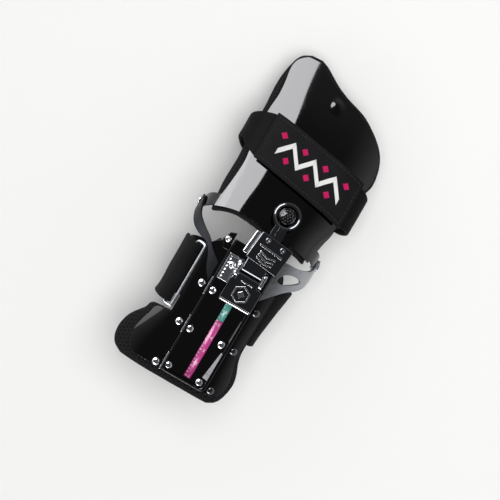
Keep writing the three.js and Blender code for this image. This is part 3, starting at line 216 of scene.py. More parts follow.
def hand_bend(ahead, u):
    """The flat half-width and the radius on the hand, ahead of the hinge line."""
    share = ahead / HAND_LENGTH
    shoulder = along(HAND_ARCH, share, "shoulder")
    return bend(u, shoulder, shoulder)


def hand_middle(ahead):
    """How far the middle of the hand leans to the side."""
    return along(HAND_ARCH, ahead / HAND_LENGTH, "middle") * HAND_HALF


def from_hand(x, y, z):
    """From the hand's own frame, which droops about the hinge line, to the part's."""
    turned_y = y * math.cos(CUP) + z * math.sin(CUP)
    turned_z = z * math.cos(CUP) - y * math.sin(CUP)
    return stack(x, HINGE_Y + turned_y, PIVOT_HEIGHT + turned_z)


def hand_flat(ahead, u, off, arch_ahead=None):
    """A point on the hand's arch, in the hand's own frame."""
    at = ahead if arch_ahead is None else arch_ahead
    x, z = arch(u, off, *hand_bend(at, u))
    fall = along(HAND_ARCH, at / HAND_LENGTH, "fall") * HAND_LENGTH
    return x + hand_middle(at), ahead, CROWN + z - fall


def hand_point(ahead, u, off, arch_ahead=None):
    """The same point where the part holds it."""
    return from_hand(*hand_flat(ahead, u, off, arch_ahead))


def hand_reach(ahead, x, off):
    """How far along the hand's arch a point at x lies."""
    middle = hand_middle(ahead)
    return reach(x - middle, off, *hand_bend(ahead, x - middle))


print("the fingertip end is at", np.round(hand_point(HAND_LENGTH, 0.0, 0.0), 1))


# %% [markdown]
# ## A bent sheet
# Plates, liners and straps are all sheets bent from flat stock. A modifier could thicken one face,
# but its edge would be hard to place, so a sheet here is a grid with two faces and walls round its
# edge. The quads stay in rows, so that reflections run over it without a kink.

# %% A bent sheet


def outward(points, faces):
    """The faces turned so that they look out of the closed body."""
    volume = 0
    for face in faces:
        a = points[face[0]]
        for k in range(1, len(face) - 1):
            volume += np.dot(a, np.cross(points[face[k]], points[face[k + 1]]))
    return faces if volume > 0 else [tuple(reversed(face)) for face in faces]


def sheet(rows, columns, point, cut, closed=False, keep=None):
    """A bent sheet. point takes two shares and a side, 0 or 1, and cut gives the flat place."""
    lines = rows if closed else rows + 1
    fi, fj = np.meshgrid(np.arange(lines) / rows, np.arange(columns + 1) / columns, indexing="ij")
    sides = [point(fi, fj, side).reshape(-1, 3) for side in (0, 1)]
    flat = cut(fi, fj).reshape(-1, 2)
    count = len(flat)

    def at(i, j):
        """The number of a point on the lower face."""
        return (i % lines) * (columns + 1) + j

    def kept(i, j):
        """Whether a cell of the grid is there."""
        if closed:
            i %= rows
        inside = 0 <= i < rows and 0 <= j < columns
        return inside and (keep is None or keep((i + 0.5) / rows, (j + 0.5) / columns))

    faces = []
    for i in range(rows):
        for j in range(columns):
            if not kept(i, j):
                continue
            low, low_right, low_far, low_ahead = (
                at(i, j), at(i, j + 1), at(i + 1, j + 1), at(i + 1, j)
            )
            top, top_right, top_far, top_ahead = (k + count for k in (low, low_right, low_far, low_ahead))
            faces.append((top, top_ahead, top_far, top_right))
            faces.append((low, low_right, low_far, low_ahead))
            if not kept(i, j - 1):
                faces.append((low, low_ahead, top_ahead, top))
            if not kept(i, j + 1):
                faces.append((top_right, top_far, low_far, low_right))
            if not kept(i - 1, j):
                faces.append((low, top, top_right, low_right))
            if not kept(i + 1, j):
                faces.append((low_ahead, low_far, top_far, top_ahead))
    points = np.concatenate(sides)
    return points, outward(points, faces), np.concatenate([flat, flat])


def level(fi, fj, side):
    """A square millimetre plate, to try the sheet on."""
    return stack(fi, fj, side)


print("a sheet of 2 by 3 cells has", len(sheet(2, 3, level, lambda fi, fj: stack(fi, fj))[1]), "faces")

# %% [markdown]
# ## A plate cut to an outline
# Blocks, tabs and tongues are plate cut square to an outline, some with a hole. A boolean could cut
# the holes, but it leaves odd faces behind. The outlines are filled directly instead, which keeps
# each face flat and each edge free for rounding.

# %% A plate cut to an outline


def area_of(ring):
    """The area inside an outline; it is negative where the outline runs clockwise."""
    x, y = np.array(ring).T
    return 0.5 * np.sum(x * np.roll(y, -1) - y * np.roll(x, -1))


def cut_plate(outlines, low, high, place=None):
    """A flat plate: the first outline goes round it, the others are holes."""
    rings = [list(outlines[0]) if area_of(outlines[0]) > 0 else list(outlines[0])[::-1]]
    rings += [list(r)[::-1] if area_of(r) > 0 else list(r) for r in outlines[1:]]
    flat = [p for ring in rings for p in ring]
    n = len(flat)
    points = np.array([(x, y, low) for x, y in flat] + [(x, y, high) for x, y in flat], float)
    faces = []
    if len(rings) == 1:
        faces = [tuple(range(n))[::-1], tuple(range(n, 2 * n))]
    else:
        for face in tessellate_polygon([[Vector((x, y, 0)) for x, y in ring] for ring in rings]):
            up = face if area_of([flat[k] for k in face]) > 0 else face[::-1]
            faces += [tuple(up[::-1]), tuple(k + n for k in up)]
    start = 0
    for ring in rings:
        for k in range(len(ring)):
            a = start + k
            b = start + (k + 1) % len(ring)
            faces.append((a, b, b + n, a + n))
        start += len(ring)
    if place is not None:
        points = np.array([place @ Vector(p) for p in points])
    return points, faces, points[:, :2].copy()


print("a unit square has an area of", area_of([(0, 0), (1, 0), (1, 1), (0, 1)]))

# %% [markdown]
# ## Turned parts
# Pins, rivets and screw heads come off a lathe, and so do these: a profile of radius and height is
# swept round an axis. A Screw modifier could do it too, but it would leave doubled points on the
# axis. Several closed bodies can then be joined as one piece, as if welded or cast together.

# %% Turned parts


def turned(profile, segments, place):
    """A turned part: its profile is radius and height, from the axis and back to it."""
    points = []
    rings = []
    for radius, height in profile:
        start = len(points)
        count = segments if radius > 0 else 1
        for k in range(count):
            a = 2 * math.pi * k / segments
            points.append(place @ Vector((radius * math.cos(a), radius * math.sin(a), height)))
        rings.append([start + k % count for k in range(segments)])
    faces = []
    for low, high in zip(rings, rings[1:]):
        for k in range(segments):
            n = (k + 1) % segments
            face = list(dict.fromkeys((low[k], low[n], high[n], high[k])))
            if len(face) > 2:
                faces.append(tuple(face))
    points = np.array([tuple(p) for p in points])
    return points, outward(points, faces), points[:, :2].copy()


def ring_of(profile, segments, place):
    """A turned ring: its profile closes on itself, clear of the axis."""
    count = len(profile) - 1
    points = []
    for k in range(segments):
        a = 2 * math.pi * k / segments
        for radius, height in profile[:-1]:
            points.append(tuple(place @ Vector((radius * math.cos(a), radius * math.sin(a), height))))
    faces = []
    for k in range(segments):
        n = (k + 1) % segments
        for j in range(count):
            m = (j + 1) % count
            faces.append((k * count + j, n * count + j, n * count + m, k * count + m))
    points = np.array(points)
    return points, outward(points, faces), points[:, :2].copy()


def joined(*parts):
    """Several closed bodies as the parts of one piece."""
    points, faces, cuts, start = [], [], [], 0
    for part_points, part_faces, part_cut in parts:
        faces += [tuple(k + start for k in face) for face in part_faces]
        points.append(part_points)
        cuts.append(part_cut)
        start += len(part_points)
    return np.concatenate(points), faces, np.concatenate(cuts)


cone = turned([(0, 0), (1, 0), (0, 1)], 12, Matrix())
print("a cone with 12 sides has", len(cone[1]), "faces")

# %% [markdown]
# ## From points to a piece
# A piece becomes an object on the body that it moves with, in the place of the plain solid. Real
# edges are never sharp, and on polished metal it is the rounded edge that shows as a bright line.
# The rounding could be modelled by hand, but a Bevel modifier gives every piece the same clean one.

# %% From points to a piece
SHARPEST = math.radians(38)  # an edge that turns by more than this is rounded


def piece(name, part, material, body, replaced=(), edge=0.0, fields=None):
    """A part as an object: on its body, and in the place of the nodes it replaces."""
    points, faces, cut = part
    mesh = bpy.data.meshes.new(name)
    mesh.from_pydata((points * MM).tolist(), [], faces)
    corner = np.empty(len(mesh.loops), np.int32)
    mesh.loops.foreach_get("vertex_index", corner)
    layer = mesh.uv_layers.new(name="cut")
    layer.data.foreach_set("uv", (cut[corner] * MM).astype(np.float32).ravel())
    for key, values in (fields or {}).items():
        attribute = mesh.attributes.new(key, "FLOAT", "POINT")
        attribute.data.foreach_set("value", np.asarray(values, np.float32))
    mesh.shade_smooth()
    obj = bpy.data.objects.new(name, mesh)
    bpy.context.scene.collection.objects.link(obj)
    mesh.materials.append(material)
    if edge:
        bevel = obj.modifiers.new("edge", "BEVEL")
        bevel.width = edge * MM
        bevel.segments = 3
        bevel.limit_method = "ANGLE"
        bevel.angle_limit = SHARPEST
        bevel.harden_normals = True
    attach(obj, body)
    if replaced:
        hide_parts(*replaced)
    return obj


print("edges over", round(math.degrees(SHARPEST)), "degrees are rounded")

# %% [markdown]
# ## Wire
# The strap's loop is bent from round wire, and the stitches are thread, which is the same thing on a
# small scale. A curve with a bevel could make both. A ring of points at each station of the path
# gives the same tube as a mesh straight away, closed at its ends or running into itself.

# %% Wire


def wire(path, radius, sides=14, closed=False):
    """A round wire along a path of points."""
    path = np.array(path, float)
    n = len(path)
    ahead = np.roll(path, -1, axis=0) - np.roll(path, 1, axis=0)
    if not closed:
        ahead[0] = path[1] - path[0]
        ahead[-1] = path[-1] - path[-2]
    ahead /= np.linalg.norm(ahead, axis=1)[:, None]
    across = np.cross(ahead, (0, 0, 1))
    across /= np.linalg.norm(across, axis=1)[:, None]
    lift = np.cross(across, ahead)
    turn = 2 * math.pi * np.arange(sides) / sides
    ring = across[:, None] * np.cos(turn)[None, :, None] + lift[:, None] * np.sin(turn)[None, :, None]
    points = (path[:, None] + radius * ring).reshape(-1, 3)
    faces = []
    for i in range(n if closed else n - 1):
        for k in range(sides):
            a = i * sides + k
            b = i * sides + (k + 1) % sides
            shift = ((i + 1) % n - i) * sides
            faces.append((a, b, b + shift, a + shift))
    if not closed:
        faces.append(tuple(range(sides)))
        faces.append(tuple(range((n - 1) * sides, n * sides))[::-1])
    return points, outward(points, faces), points[:, :2].copy()


print("a straight wire of two points has", len(wire([(0, 0, 0), (1, 0, 0)], 0.1)[1]), "faces")


# %% [markdown]
# ## Colours
# Colours are written as sRGB hex, the way a swatch gives them. Light adds up in linear values, so one
# function turns them. Typing linear numbers straight in would work too, but nobody can read them.

# %% Colours


def linear(code):
    """An sRGB hex colour as linear RGBA."""
    parts = [int(code[k:k + 2], 16) / 255 for k in (1, 3, 5)]
    return [c / 12.92 if c <= 0.04045 else ((c + 0.055) / 1.055) ** 2.4 for c in parts] + [1.0]


print("middle grey #808080 is", round(linear("#808080")[0], 3), "in linear light")

# %% [markdown]
# ## Nodes
# A finish is a small graph of nodes. It could be drawn by hand, but written down it can be read and
# compared. One function adds every kind of node with its settings and links, so that each line still
# says which node it adds. Another node as an input stands for its first live output.

# %% One function for every node


def node(tree, kind, settings=None, **inputs):
    """Adds a node. An input is a value, a socket or a node; i0 and i1 are inputs by number."""
    made = tree.nodes.new("ShaderNode" + kind)
    for key, value in (settings or {}).items():
        setattr(made, key, value)
    for key, value in inputs.items():
        numbered = key in ("i0", "i1")
        socket = made.inputs[int(key[1]) if numbered else key.replace("_", " ")]
        if isinstance(value, bpy.types.Node):
            value = next(output for output in value.outputs if output.enabled)
        if isinstance(value, bpy.types.NodeSocket):
            tree.links.new(value, socket)
        else:
            socket.default_value = value
    return made


def new_material(name):
    """An empty material and its tree of nodes."""
    material = bpy.data.materials.new(name)
    material.use_nodes = True
    material.node_tree.nodes.clear()
    return material, material.node_tree


trial, trial_tree = new_material("trial")
half = node(trial_tree, "Math", {"operation": "MULTIPLY"}, i0=1.0, i1=0.5)
print("one node in the trial material:", half.operation.lower())
bpy.data.materials.remove(trial)

# %% [markdown]
# ## Where a pattern lies
# A weave follows the cloth and brushing follows the sheet, so their patterns are laid out on the flat
# cut. Haze and grain have no direction and are taken from the place in space. Both are scaled by a
# real size in millimetres, so that a pattern keeps its size whatever piece it is on.

# %% Where a pattern lies


def cut_place(tree, across, run):
    """The flat place on the cut, in pattern repeats of the given millimetres."""
    place = node(tree, "UVMap", {"uv_map": "cut"})
    scale = (1 / (across * MM), 1 / (run * MM), 1.0)
    return node(tree, "VectorMath", {"operation": "MULTIPLY"}, i0=place, i1=scale)


def object_place(tree, repeat):
    """The place in the part's frame, in pattern repeats of the given millimetres."""
    place = node(tree, "TexCoord").outputs["Object"]
    scale = (1 / (repeat * MM),) * 3
    return node(tree, "VectorMath", {"operation": "MULTIPLY"}, i0=place, i1=scale)


print("patterns are laid out in millimetres")

# %% [markdown]
# ## Plated metal
# Black nickel is a dark nickel alloy plated over a buffed face. It mirrors like chrome but returns
# only a few per cent of the light. Both are buffed by hand, which leaves a faint haze and
# hairlines too fine to see one by one. A perfect mirror would look computed, so two noises, one for
# each, vary the roughness a little.

# %% Plated metal
HAIRLINE = 0.8  # millimetres; the real ones are finer, and this is as fine as shows


def plated(name, colour, low, high, haze=20.0, ripple=0.004):
    """Plate on a buffed face: haze is the size of its clouds and ripple their relief, in mm."""
    material, tree = new_material(name)
    cloud = node(tree, "TexNoise", Vector=object_place(tree, haze), Scale=1.0, Detail=3.0)
    hair = node(tree, "TexNoise", Vector=object_place(tree, HAIRLINE), Scale=1.0, Detail=2.0)
    both = node(tree, "Math", {"operation": "MULTIPLY"}, i0=cloud, i1=hair)
    rough = node(tree, "MapRange", Value=both, From_Min=0.1, From_Max=0.45, To_Min=low, To_Max=high)
    bump = node(tree, "Bump", Height=cloud, Strength=1.0, Distance=ripple * MM)
    surface = node(
        tree, "BsdfPrincipled", Base_Color=linear(colour), Metallic=1.0, Roughness=rough, Normal=bump
    )
    node(tree, "OutputMaterial", Surface=surface)
    return material


# Reads as black glass: near black on level faces, with long clear reflections where it turns
black_nickel = plated("black_nickel_plate", "#3c3c3d", 0.05, 0.11)
# A bright mirror that breaks into small hard lights on domes, pins and edges
chrome = plated("chrome_plate", "#c9cbcf", 0.05, 0.13, haze=9.0)
# The same mirror, duller: level faces go dark and only their edges light up. On the right wing's rivets it is
# painted shade
dark_chrome = plated("dark_chrome_and_painted_shade", "#606165", 0.07, 0.16, haze=9.0)
print("plated metals:", black_nickel.name, chrome.name, dark_chrome.name)

# %% [markdown]
# ## Brushed steel
# The arms look like rolled steel, brushed along their length, one bare and one blackened. That scatters
# light across its lines. An anisotropic shader would also give that, but on strips this narrow a
# noise stretched along the sheet shows the same.

# %% Brushed steel
BRUSH_LONG = 6.0
BRUSH_APART = 0.25


def brushed(name, colour, low, high):
    """Rolled sheet, brushed along its length: fine lines widen the shine."""
    material, tree = new_material(name)
    place = cut_place(tree, BRUSH_LONG, BRUSH_APART)
    lines = node(tree, "TexNoise", Vector=place, Scale=1.0, Detail=3.0)
    rough = node(tree, "MapRange", Value=lines, From_Min=0.3, From_Max=0.7, To_Min=low, To_Max=high)
    bump = node(tree, "Bump", Height=lines, Strength=1.0, Distance=0.01 * MM)
    surface = node(
        tree, "BsdfPrincipled", Base_Color=linear(colour), Metallic=1.0, Roughness=rough, Normal=bump
    )
    node(tree, "OutputMaterial", Surface=surface)
    return material


# A soft even grey that takes a broad light and shows no clear reflection
satin = brushed("satin_steel", "#9b9da1", 0.24, 0.42)
# The same sheet blackened: a dark grey that hardly lights up
dark_satin = brushed("dark_satin_steel", "#252628", 0.42, 0.6)
print("brushed metals:", satin.name, dark_satin.name)

# %% [markdown]
# ## Spacer mesh
# The liners are two knitted polyester faces held apart by yarns, the outer one a honeycomb of open
# cells, pressed flat and smooth at the rim. Cutting thousands of cells out of the mesh would be slow
# and heavy. Three waves at 60 degrees make the same honeycomb in the material, at its real size, and
# the cells are painted darker as shade in them.

# %% Spacer mesh
CELL = 2.5
CELL_DEPTH = 0.55
RIM_FIELD = "rim"


def spacer_mesh_material():
    """A honeycomb of cells, darkened with painted shade, that fades into the smooth pressed rim."""
    material, tree = new_material("spacer_mesh")
    place = cut_place(tree, CELL, CELL)
    waves = 0.0
    for degrees in (0, 60, 120):
        a = math.radians(degrees)
        toward = (2 * math.pi * math.cos(a), 2 * math.pi * math.sin(a), 0.0)
        dot = node(tree, "VectorMath", {"operation": "DOT_PRODUCT"}, i0=place, i1=toward)
        wave = node(tree, "Math", {"operation": "COSINE"}, i0=dot)
        waves = node(tree, "Math", {"operation": "ADD"}, i0=waves, i1=wave)
    rim = node(tree, "Attribute", {"attribute_name": RIM_FIELD}).outputs["Fac"]
    cells = node(tree, "MapRange", Value=waves, From_Min=-0.6, From_Max=2.2)
    hole = node(tree, "Math", {"operation": "MULTIPLY"}, i0=cells, i1=rim)
    knit_relief_and_shade = node(tree, "Math", {"operation": "SUBTRACT"}, i0=1.0, i1=hole)
    # The cells take the darker colour: painted shade in the holes of the mesh
    colour = node(
        tree, "Mix", {"data_type": "RGBA"}, Factor=knit_relief_and_shade, A=linear("#030303"), B=linear("#1b1b1d")
    )
    bump = node(tree, "Bump", Height=knit_relief_and_shade, Strength=1.0, Distance=CELL_DEPTH * MM)
    surface = node(
        tree, "BsdfPrincipled", Base_Color=colour, Normal=bump, Roughness=0.82, Sheen_Weight=0.02,
        Sheen_Roughness=0.5, Specular_IOR_Level=0.04
    )
    node(tree, "OutputMaterial", Surface=surface)
    return material


# A matt black that swallows light, dotted with cells painted blacker as shade, and plain at its edge
spacer_mesh = spacer_mesh_material()
print("spacer mesh with cells", CELL, "mm apart")

# %% [markdown]
# ## Woven cloth and thread
# Webbing is woven nylon with ribs across it, and the tab, the thread and the thread print are woven
# or twisted too. An image of cloth would blur up close. Two crossed waves give the ribs, with painted
# shade darker in the hollows between them, and a slow noise varies the tone as wear does. The
# webbing's threads are drawn at 0.9 mm, coarser than the real 0.4 mm, because finer ones would not show.

# %% Woven cloth and thread
WEAVE = 0.9


def woven_material(name, thread, ground, across, run, depth, sheen):
    """Plain weave: ribs both ways with painted shade in their hollows, and a slow change of tone from wear.
    """
    material, tree = new_material(name)
    parts = node(tree, "SeparateXYZ", Vector=cut_place(tree, across, run))
    ribs = []
    for axis in ("X", "Y"):
        turns = node(tree, "Math", {"operation": "MULTIPLY"}, i0=parts.outputs[axis], i1=2 * math.pi)
        ribs.append(node(tree, "Math", {"operation": "SINE"}, i0=turns))
    weave = node(tree, "Math", {"operation": "MULTIPLY"}, i0=ribs[0], i1=ribs[1])
    height = node(tree, "MapRange", Value=weave, From_Min=-1.0, From_Max=1.0)
    wear = node(tree, "TexNoise", Vector=cut_place(tree, 14.0, 9.0), Scale=1.0, Detail=4.0)
    worn = node(tree, "MapRange", Value=wear, From_Min=0.3, From_Max=0.7, To_Min=0.6, To_Max=1.2)
    # The hollows between ribs take the ground colour as painted shade; the wear noise varies the tone
    shade = node(tree, "Math", {"operation": "MULTIPLY"}, i0=height, i1=worn)
    colour = node(tree, "Mix", {"data_type": "RGBA"}, Factor=shade, A=linear(ground), B=linear(thread))
    bump = node(tree, "Bump", Height=height, Strength=1.0, Distance=depth * MM)
    surface = node(
        tree, "BsdfPrincipled", Base_Color=colour, Normal=bump, Roughness=0.78, Sheen_Weight=sheen,
        Sheen_Roughness=0.45, Specular_IOR_Level=0.04
    )
    node(tree, "OutputMaterial", Surface=surface)
    return material


# A dry black with a faint rib, a little greyer where it curves away
webbing = woven_material("nylon_webbing", "#1a1a1b", "#080808", WEAVE, WEAVE * 1.6, 0.16, 0.02)
# A finer, smoother black, so that the tab stands out from the strap under it
tab_cloth = woven_material("tab_cloth", "#1f1f21", "#0f0f10", WEAVE * 0.7, WEAVE * 0.7, 0.07, 0.02)
# Dark grey twist: stitches that show as a dotted line and no more
thread = woven_material("sewing_thread", "#3a3a3d", "#1c1c1e", 0.5, 0.5, 0.05, 0.05)
# Dense white thread, matt and even, the brightest thing on the cloth
white_print = woven_material("white_thread_print", "#f2f2f0", "#d5d5d3", 0.5, 0.9, 0.05, 0.1)
# The same in deep pink, which stays strong beside the black
pink_print = woven_material("pink_thread_print", "#d81f68", "#a0134a", 0.5, 0.9, 0.05, 0.1)
print("woven:", webbing.name, tab_cloth.name, thread.name, white_print.name, pink_print.name)

# %% [markdown]
# ## Vinyl film
# The scale is printed vinyl, stuck down in the rail. It is an even colour under a clear satin face,
# so a coat over a plain base gives its soft second shine. A noise half a millimetre fine keeps the
# colour from looking like a flat fill.

# %% Vinyl film
GRAIN = 0.5


def film_material(name, colour, dark):
    """Printed vinyl film: an even colour with a faint grain, under a clear satin face."""
    material, tree = new_material(name)
    grain = node(tree, "TexNoise", Vector=object_place(tree, GRAIN), Scale=1.0, Detail=2.0)
    tint = node(tree, "Mix", {"data_type": "RGBA"}, Factor=grain, A=linear(dark), B=linear(colour))
    surface = node(
        tree, "BsdfPrincipled", Base_Color=tint, Roughness=0.35, Coat_Weight=0.3, Coat_Roughness=0.15
    )
    node(tree, "OutputMaterial", Surface=surface)
    return material


# A warm pink band and a cool green one, the only strong colours on the metal
pink_film = film_material("pink_vinyl_film", "#c93a93", "#a3286f")
teal_film = film_material("teal_vinyl_film", "#4fa79c", "#378379")
# Off-white ink that stays readable on both
film_ink = film_material("white_film_ink", "#f4ecf2", "#dccfd8")
print("films:", pink_film.name, teal_film.name, film_ink.name)

# %% [markdown]
# ## The camera
# The picture looks down on the back of the plates, with the arm slanting up to the right. The camera
# is set from what can be read off it: the slant, a slight tilt toward the thumb and the fingers, and
# the place of the hinge line. A long lens keeps the perspective as flat as it looks there.

# %% Set the camera
IMAGE = 500
SCALE = 0.667  # millimetres to a pixel at the height of the plates
HINGE_PIXEL = (258.8, 237.2)
SLANT = math.radians(30.5)
TILT = math.radians(3)  # toward the thumb
PITCH = math.radians(6)  # toward the fingers
DISTANCE = 950.0
LENS = 100.0
# The sensor is as wide as the picture would be at the plates, brought back to the lens
SENSOR = IMAGE * SCALE * LENS / DISTANCE

arm_axis = Vector((0, 1, 0))
back_of_view = Vector((-math.sin(TILT), math.sin(PITCH), math.cos(TILT))).normalized()
level_right = arm_axis.cross(back_of_view).normalized()
level_up = back_of_view.cross(level_right)
right = level_up * math.sin(SLANT) + level_right * math.cos(SLANT)
up = level_up * math.cos(SLANT) - level_right * math.sin(SLANT)
hinge_point = Vector((0, HINGE_Y, SKIN_Z))
offset = right * (IMAGE / 2 - HINGE_PIXEL[0]) + up * (HINGE_PIXEL[1] - IMAGE / 2)
target = hinge_point + offset * SCALE
camera_data = bpy.data.cameras.new("camera")
camera_data.lens = LENS
camera_data.sensor_width = SENSOR
camera = bpy.data.objects.new("camera", camera_data)
turn = Matrix((right, up, back_of_view)).transposed().to_4x4()
camera.matrix_world = Matrix.Translation((target + back_of_view * DISTANCE) * MM) @ turn
bpy.context.scene.collection.objects.link(camera)
bpy.context.scene.camera = camera
print("camera at", [round(v, 3) for v in camera.location])

# %% [markdown]
# ## The floor and the sky
# A product is shot on a wide sheet of matt white paper. One large quad is enough for that, since it
# has no edge in view. The sky is brighter near the horizon than overhead, because level mirrors show
# what is above them and have to stay dark.

# %% Set the floor and the sky
HALF_FLOOR = 3.0  # metres
corners = [(-1, -1), (1, -1), (1, 1), (-1, 1)]
floor_mesh = bpy.data.meshes.new("floor")
floor_mesh.from_pydata([(x * HALF_FLOOR, y * HALF_FLOOR, 0) for x, y in corners], [], [(0, 1, 2, 3)])
floor = bpy.data.objects.new("floor", floor_mesh)
bpy.context.scene.collection.objects.link(floor)
# Matt paper: a pale even ground that takes soft shadows and mirrors nothing
matt_paper, paper_tree = new_material("matt_paper")
paper = node(paper_tree, "BsdfPrincipled", Base_Color=linear("#f3f3f2"), Roughness=0.9)
node(paper_tree, "OutputMaterial", Surface=paper)
floor_mesh.materials.append(matt_paper)

world = bpy.data.worlds.new("studio")
bpy.context.scene.world = world
world.use_nodes = True
sky = world.node_tree
sky.nodes.clear()
HORIZON = 0.75
OVERHEAD = 0.10
height = node(sky, "SeparateXYZ", Vector=node(sky, "TexCoord").outputs["Generated"]).outputs["Z"]
glow = node(sky, "MapRange", Value=height, From_Min=0.25, From_Max=0.85, To_Min=HORIZON, To_Max=OVERHEAD)
background = node(sky, "Background", Color=(1, 1, 1, 1), Strength=glow)
node(sky, "OutputWorld", Surface=background)
print("floor", 2 * HALF_FLOOR, "m wide, sky from", HORIZON, "to", OVERHEAD)

# %% [markdown]
# ## The lamps
# Polished metal is lit by what it mirrors, and cloth by what falls on it. A studio uses soft boxes
# for the first and a ceiling light for the second. Here the boxes show in metal alone, so that they
# can be placed for its reflections without greying the cloth. A large one on the thumb's side gives
# the hand plate its pale band, and two low ones draw bright lines along the edges.

# %% Set the lamps


def lamp(name, round_angle, along_angle, halves, distance, radiance, mirrored):
    """A rectangular lamp, placed by its angle round the arm and its angle along it, in degrees.

    A mirrored one shows in metal alone; the others light everything and show in nothing.
    """
    a, b = math.radians(round_angle), math.radians(along_angle)
    toward = Vector((math.cos(b) * math.cos(a), math.sin(b), math.cos(b) * math.sin(a)))
    round_axis = arm_axis.cross(toward).normalized()
    wide, long = (2 * distance * math.tan(math.radians(half)) for half in halves)
    data = bpy.data.lights.new(name, "AREA")
    data.shape = "RECTANGLE"
    data.size = wide
    data.size_y = long
    data.energy = radiance * math.pi * wide * long
    made = bpy.data.objects.new(name, data)
    turn = Matrix((round_axis, toward.cross(round_axis), toward)).transposed().to_4x4()
    made.matrix_world = Matrix.Translation(hinge_point * MM + toward * distance) @ turn
    made.visible_glossy = mirrored
    made.visible_diffuse = not mirrored
    bpy.context.scene.collection.objects.link(made)


lamp("ceiling_fill", 82, 8, (28, 28), 1.6, 2.9, mirrored=False)
lamp("thumb_side_panel", 159, 30, (48, 23), 1.2, 10.5, mirrored=True)
lamp("low_left_panel", 162, -5, (12, 26), 1.2, 1.8, mirrored=True)
lamp("rear_panel", 90, -64, (20, 10), 1.2, 12, mirrored=True)
# The plain view keeps the cloth black and the film its own colour
bpy.context.scene.view_settings.view_transform = "Standard"

# %% [markdown]
# ## Outlines
# A pattern cutter draws each pad and plate flat, as half-widths at stations along the arm. They could
# be traced by hand as curves, but nothing would then keep them in step. Each outline here is a table
# with a row for each station, in shares of the part's own lengths.

# %% The outlines
FLARE = (STRAP_BACK + STRAP_WIDTH / 2 + BAR + 5 * GAP) / FOREARM_REACH


def beside(share):
    """A place between the hinge line and the flare."""
    return share * FLARE


def behind(share):
    """A place past the flare."""
    return mix(FLARE, 1, share)


FOREARM_LINER = table(
    "back left right",
    (beside(0.184), -0.5, 0.6), (beside(0.24), -0.55, 0.66), (beside(0.32), -0.56, 0.69),
    (beside(0.64), -0.56, 0.69), (beside(0.96), -0.56, 0.68), (beside(1), -0.6, 0.68),
    (behind(0.053), -0.86, 0.68), (behind(0.2), -0.95, 0.71), (behind(0.413), -1.09, 0.79),
    (behind(0.573), -1.145, 0.82), (behind(0.733), -1.155, 0.8), (behind(0.867), -1.12, 0.755),
    (behind(0.947), -1.05, 0.69), (behind(1), -0.93, 0.58),
)
FOREARM_PLATE = table(
    "back left right",
    (beside(0.184), -0.46, 0.56), (beside(0.24), -0.56, 0.62), (beside(0.32), -0.58, 0.64),
    (beside(0.64), -0.58, 0.64), (beside(0.96), -0.58, 0.63), (beside(1), -0.6, 0.63),
    (behind(0.053), -0.78, 0.63), (behind(0.2), -0.84, 0.64), (behind(0.413), -0.9, 0.7),
    (behind(0.573), -0.92, 0.73), (behind(0.733), -0.88, 0.71), (behind(0.827), -0.8, 0.66),
    (behind(0.867), -0.7, 0.58),
)
HAND_LINER = table(
    "ahead left right hem",
    (-0.02, -0.78, 0.74, 1), (0.05, -0.81, 0.745, 0.75), (0.15, -0.83, 0.89, 0.3),
    (0.28, -0.82, 0.92, 0), (0.4, -0.835, 0.96, 0), (0.47, -0.84, 1.02, 0), (0.54, -0.845, 1.07, 0),
    (0.63, -0.85, 1.035, 0), (0.7, -0.862, 0.945, 0), (0.75, -0.868, 0.815, 0), (0.8, -0.866, 0.63, 0),
    (0.845, -0.855, 0.42, 0), (0.88, -0.84, 0.14, 0), (0.91, -0.82, -0.04, 0), (0.95, -0.79, -0.21, 0),
    (0.98, -0.73, -0.33, 0), (1, -0.62, -0.45, 0),
)
HAND_PLATE = table(
    "ahead left right hem",
    (0, -0.76, 0.78, 1), (0.06, -0.75, 0.81, 0.75), (0.15, -0.72, 0.86, 0.3), (0.28, -0.7, 0.89, 0),
    (0.4, -0.74, 0.93, 0), (0.47, -0.76, 0.98, 0), (0.54, -0.77, 1.02, 0), (0.63, -0.765, 0.985, 0),
    (0.7, -0.75, 0.89, 0), (0.75, -0.755, 0.755, 0), (0.795, -0.765, 0.57, 0), (0.835, -0.78, 0.36, 0),
    (0.865, -0.79, 0.1, 0), (0.9, -0.79, -0.09, 0), (0.935, -0.765, -0.26, 0), (0.96, -0.71, -0.37, 0),
    (0.978, -0.64, -0.45, 0),
)
# How the wrist end of the hand's two sheets waves, from the left edge to the right
HEM = table(
    "across rise",
    (0, -0.015), (0.22, 0.012), (0.45, 0.004), (0.7, -0.018), (0.86, -0.02), (1, -0.03),
)
outlines = (FOREARM_LINER, FOREARM_PLATE, HAND_LINER, HAND_PLATE)
print("stations in each outline:", [len(rows["left"]) for rows in outlines])

# %% [markdown]
# ## Places on an outline
# A sheet asks for a point at two shares, along and across. These functions turn the shares into a
# place on the arch, and say how far it lies inside the edge. An even grid would do as well, but the
# outlines curve most at the far end, so the rows are drawn closer together there.

# %% Places on an outline
CROWDING = 1.35  # over 1 draws the rows closer together at the far end


def forearm_place(edge, fi, fj, high):
    """Where a share of the outline lies: back from the hinge line, along the arch, and rim."""
    first, last = edge["back"][0], edge["back"][-1]
    share = mix(first, last, 1 - (1 - fi) ** CROWDING)
    back = share * FOREARM_REACH
    left = forearm_reach(back, along(edge, share, "left") * FOREARM_HALF, high)
    right_edge = forearm_reach(back, along(edge, share, "right") * FOREARM_HALF, high)
    u = mix(left, right_edge, fj)
    inside = np.minimum(np.minimum(u - left, right_edge - u), (share - first) * FOREARM_REACH)
    return back, u, np.minimum(inside, (last - share) * FOREARM_REACH)


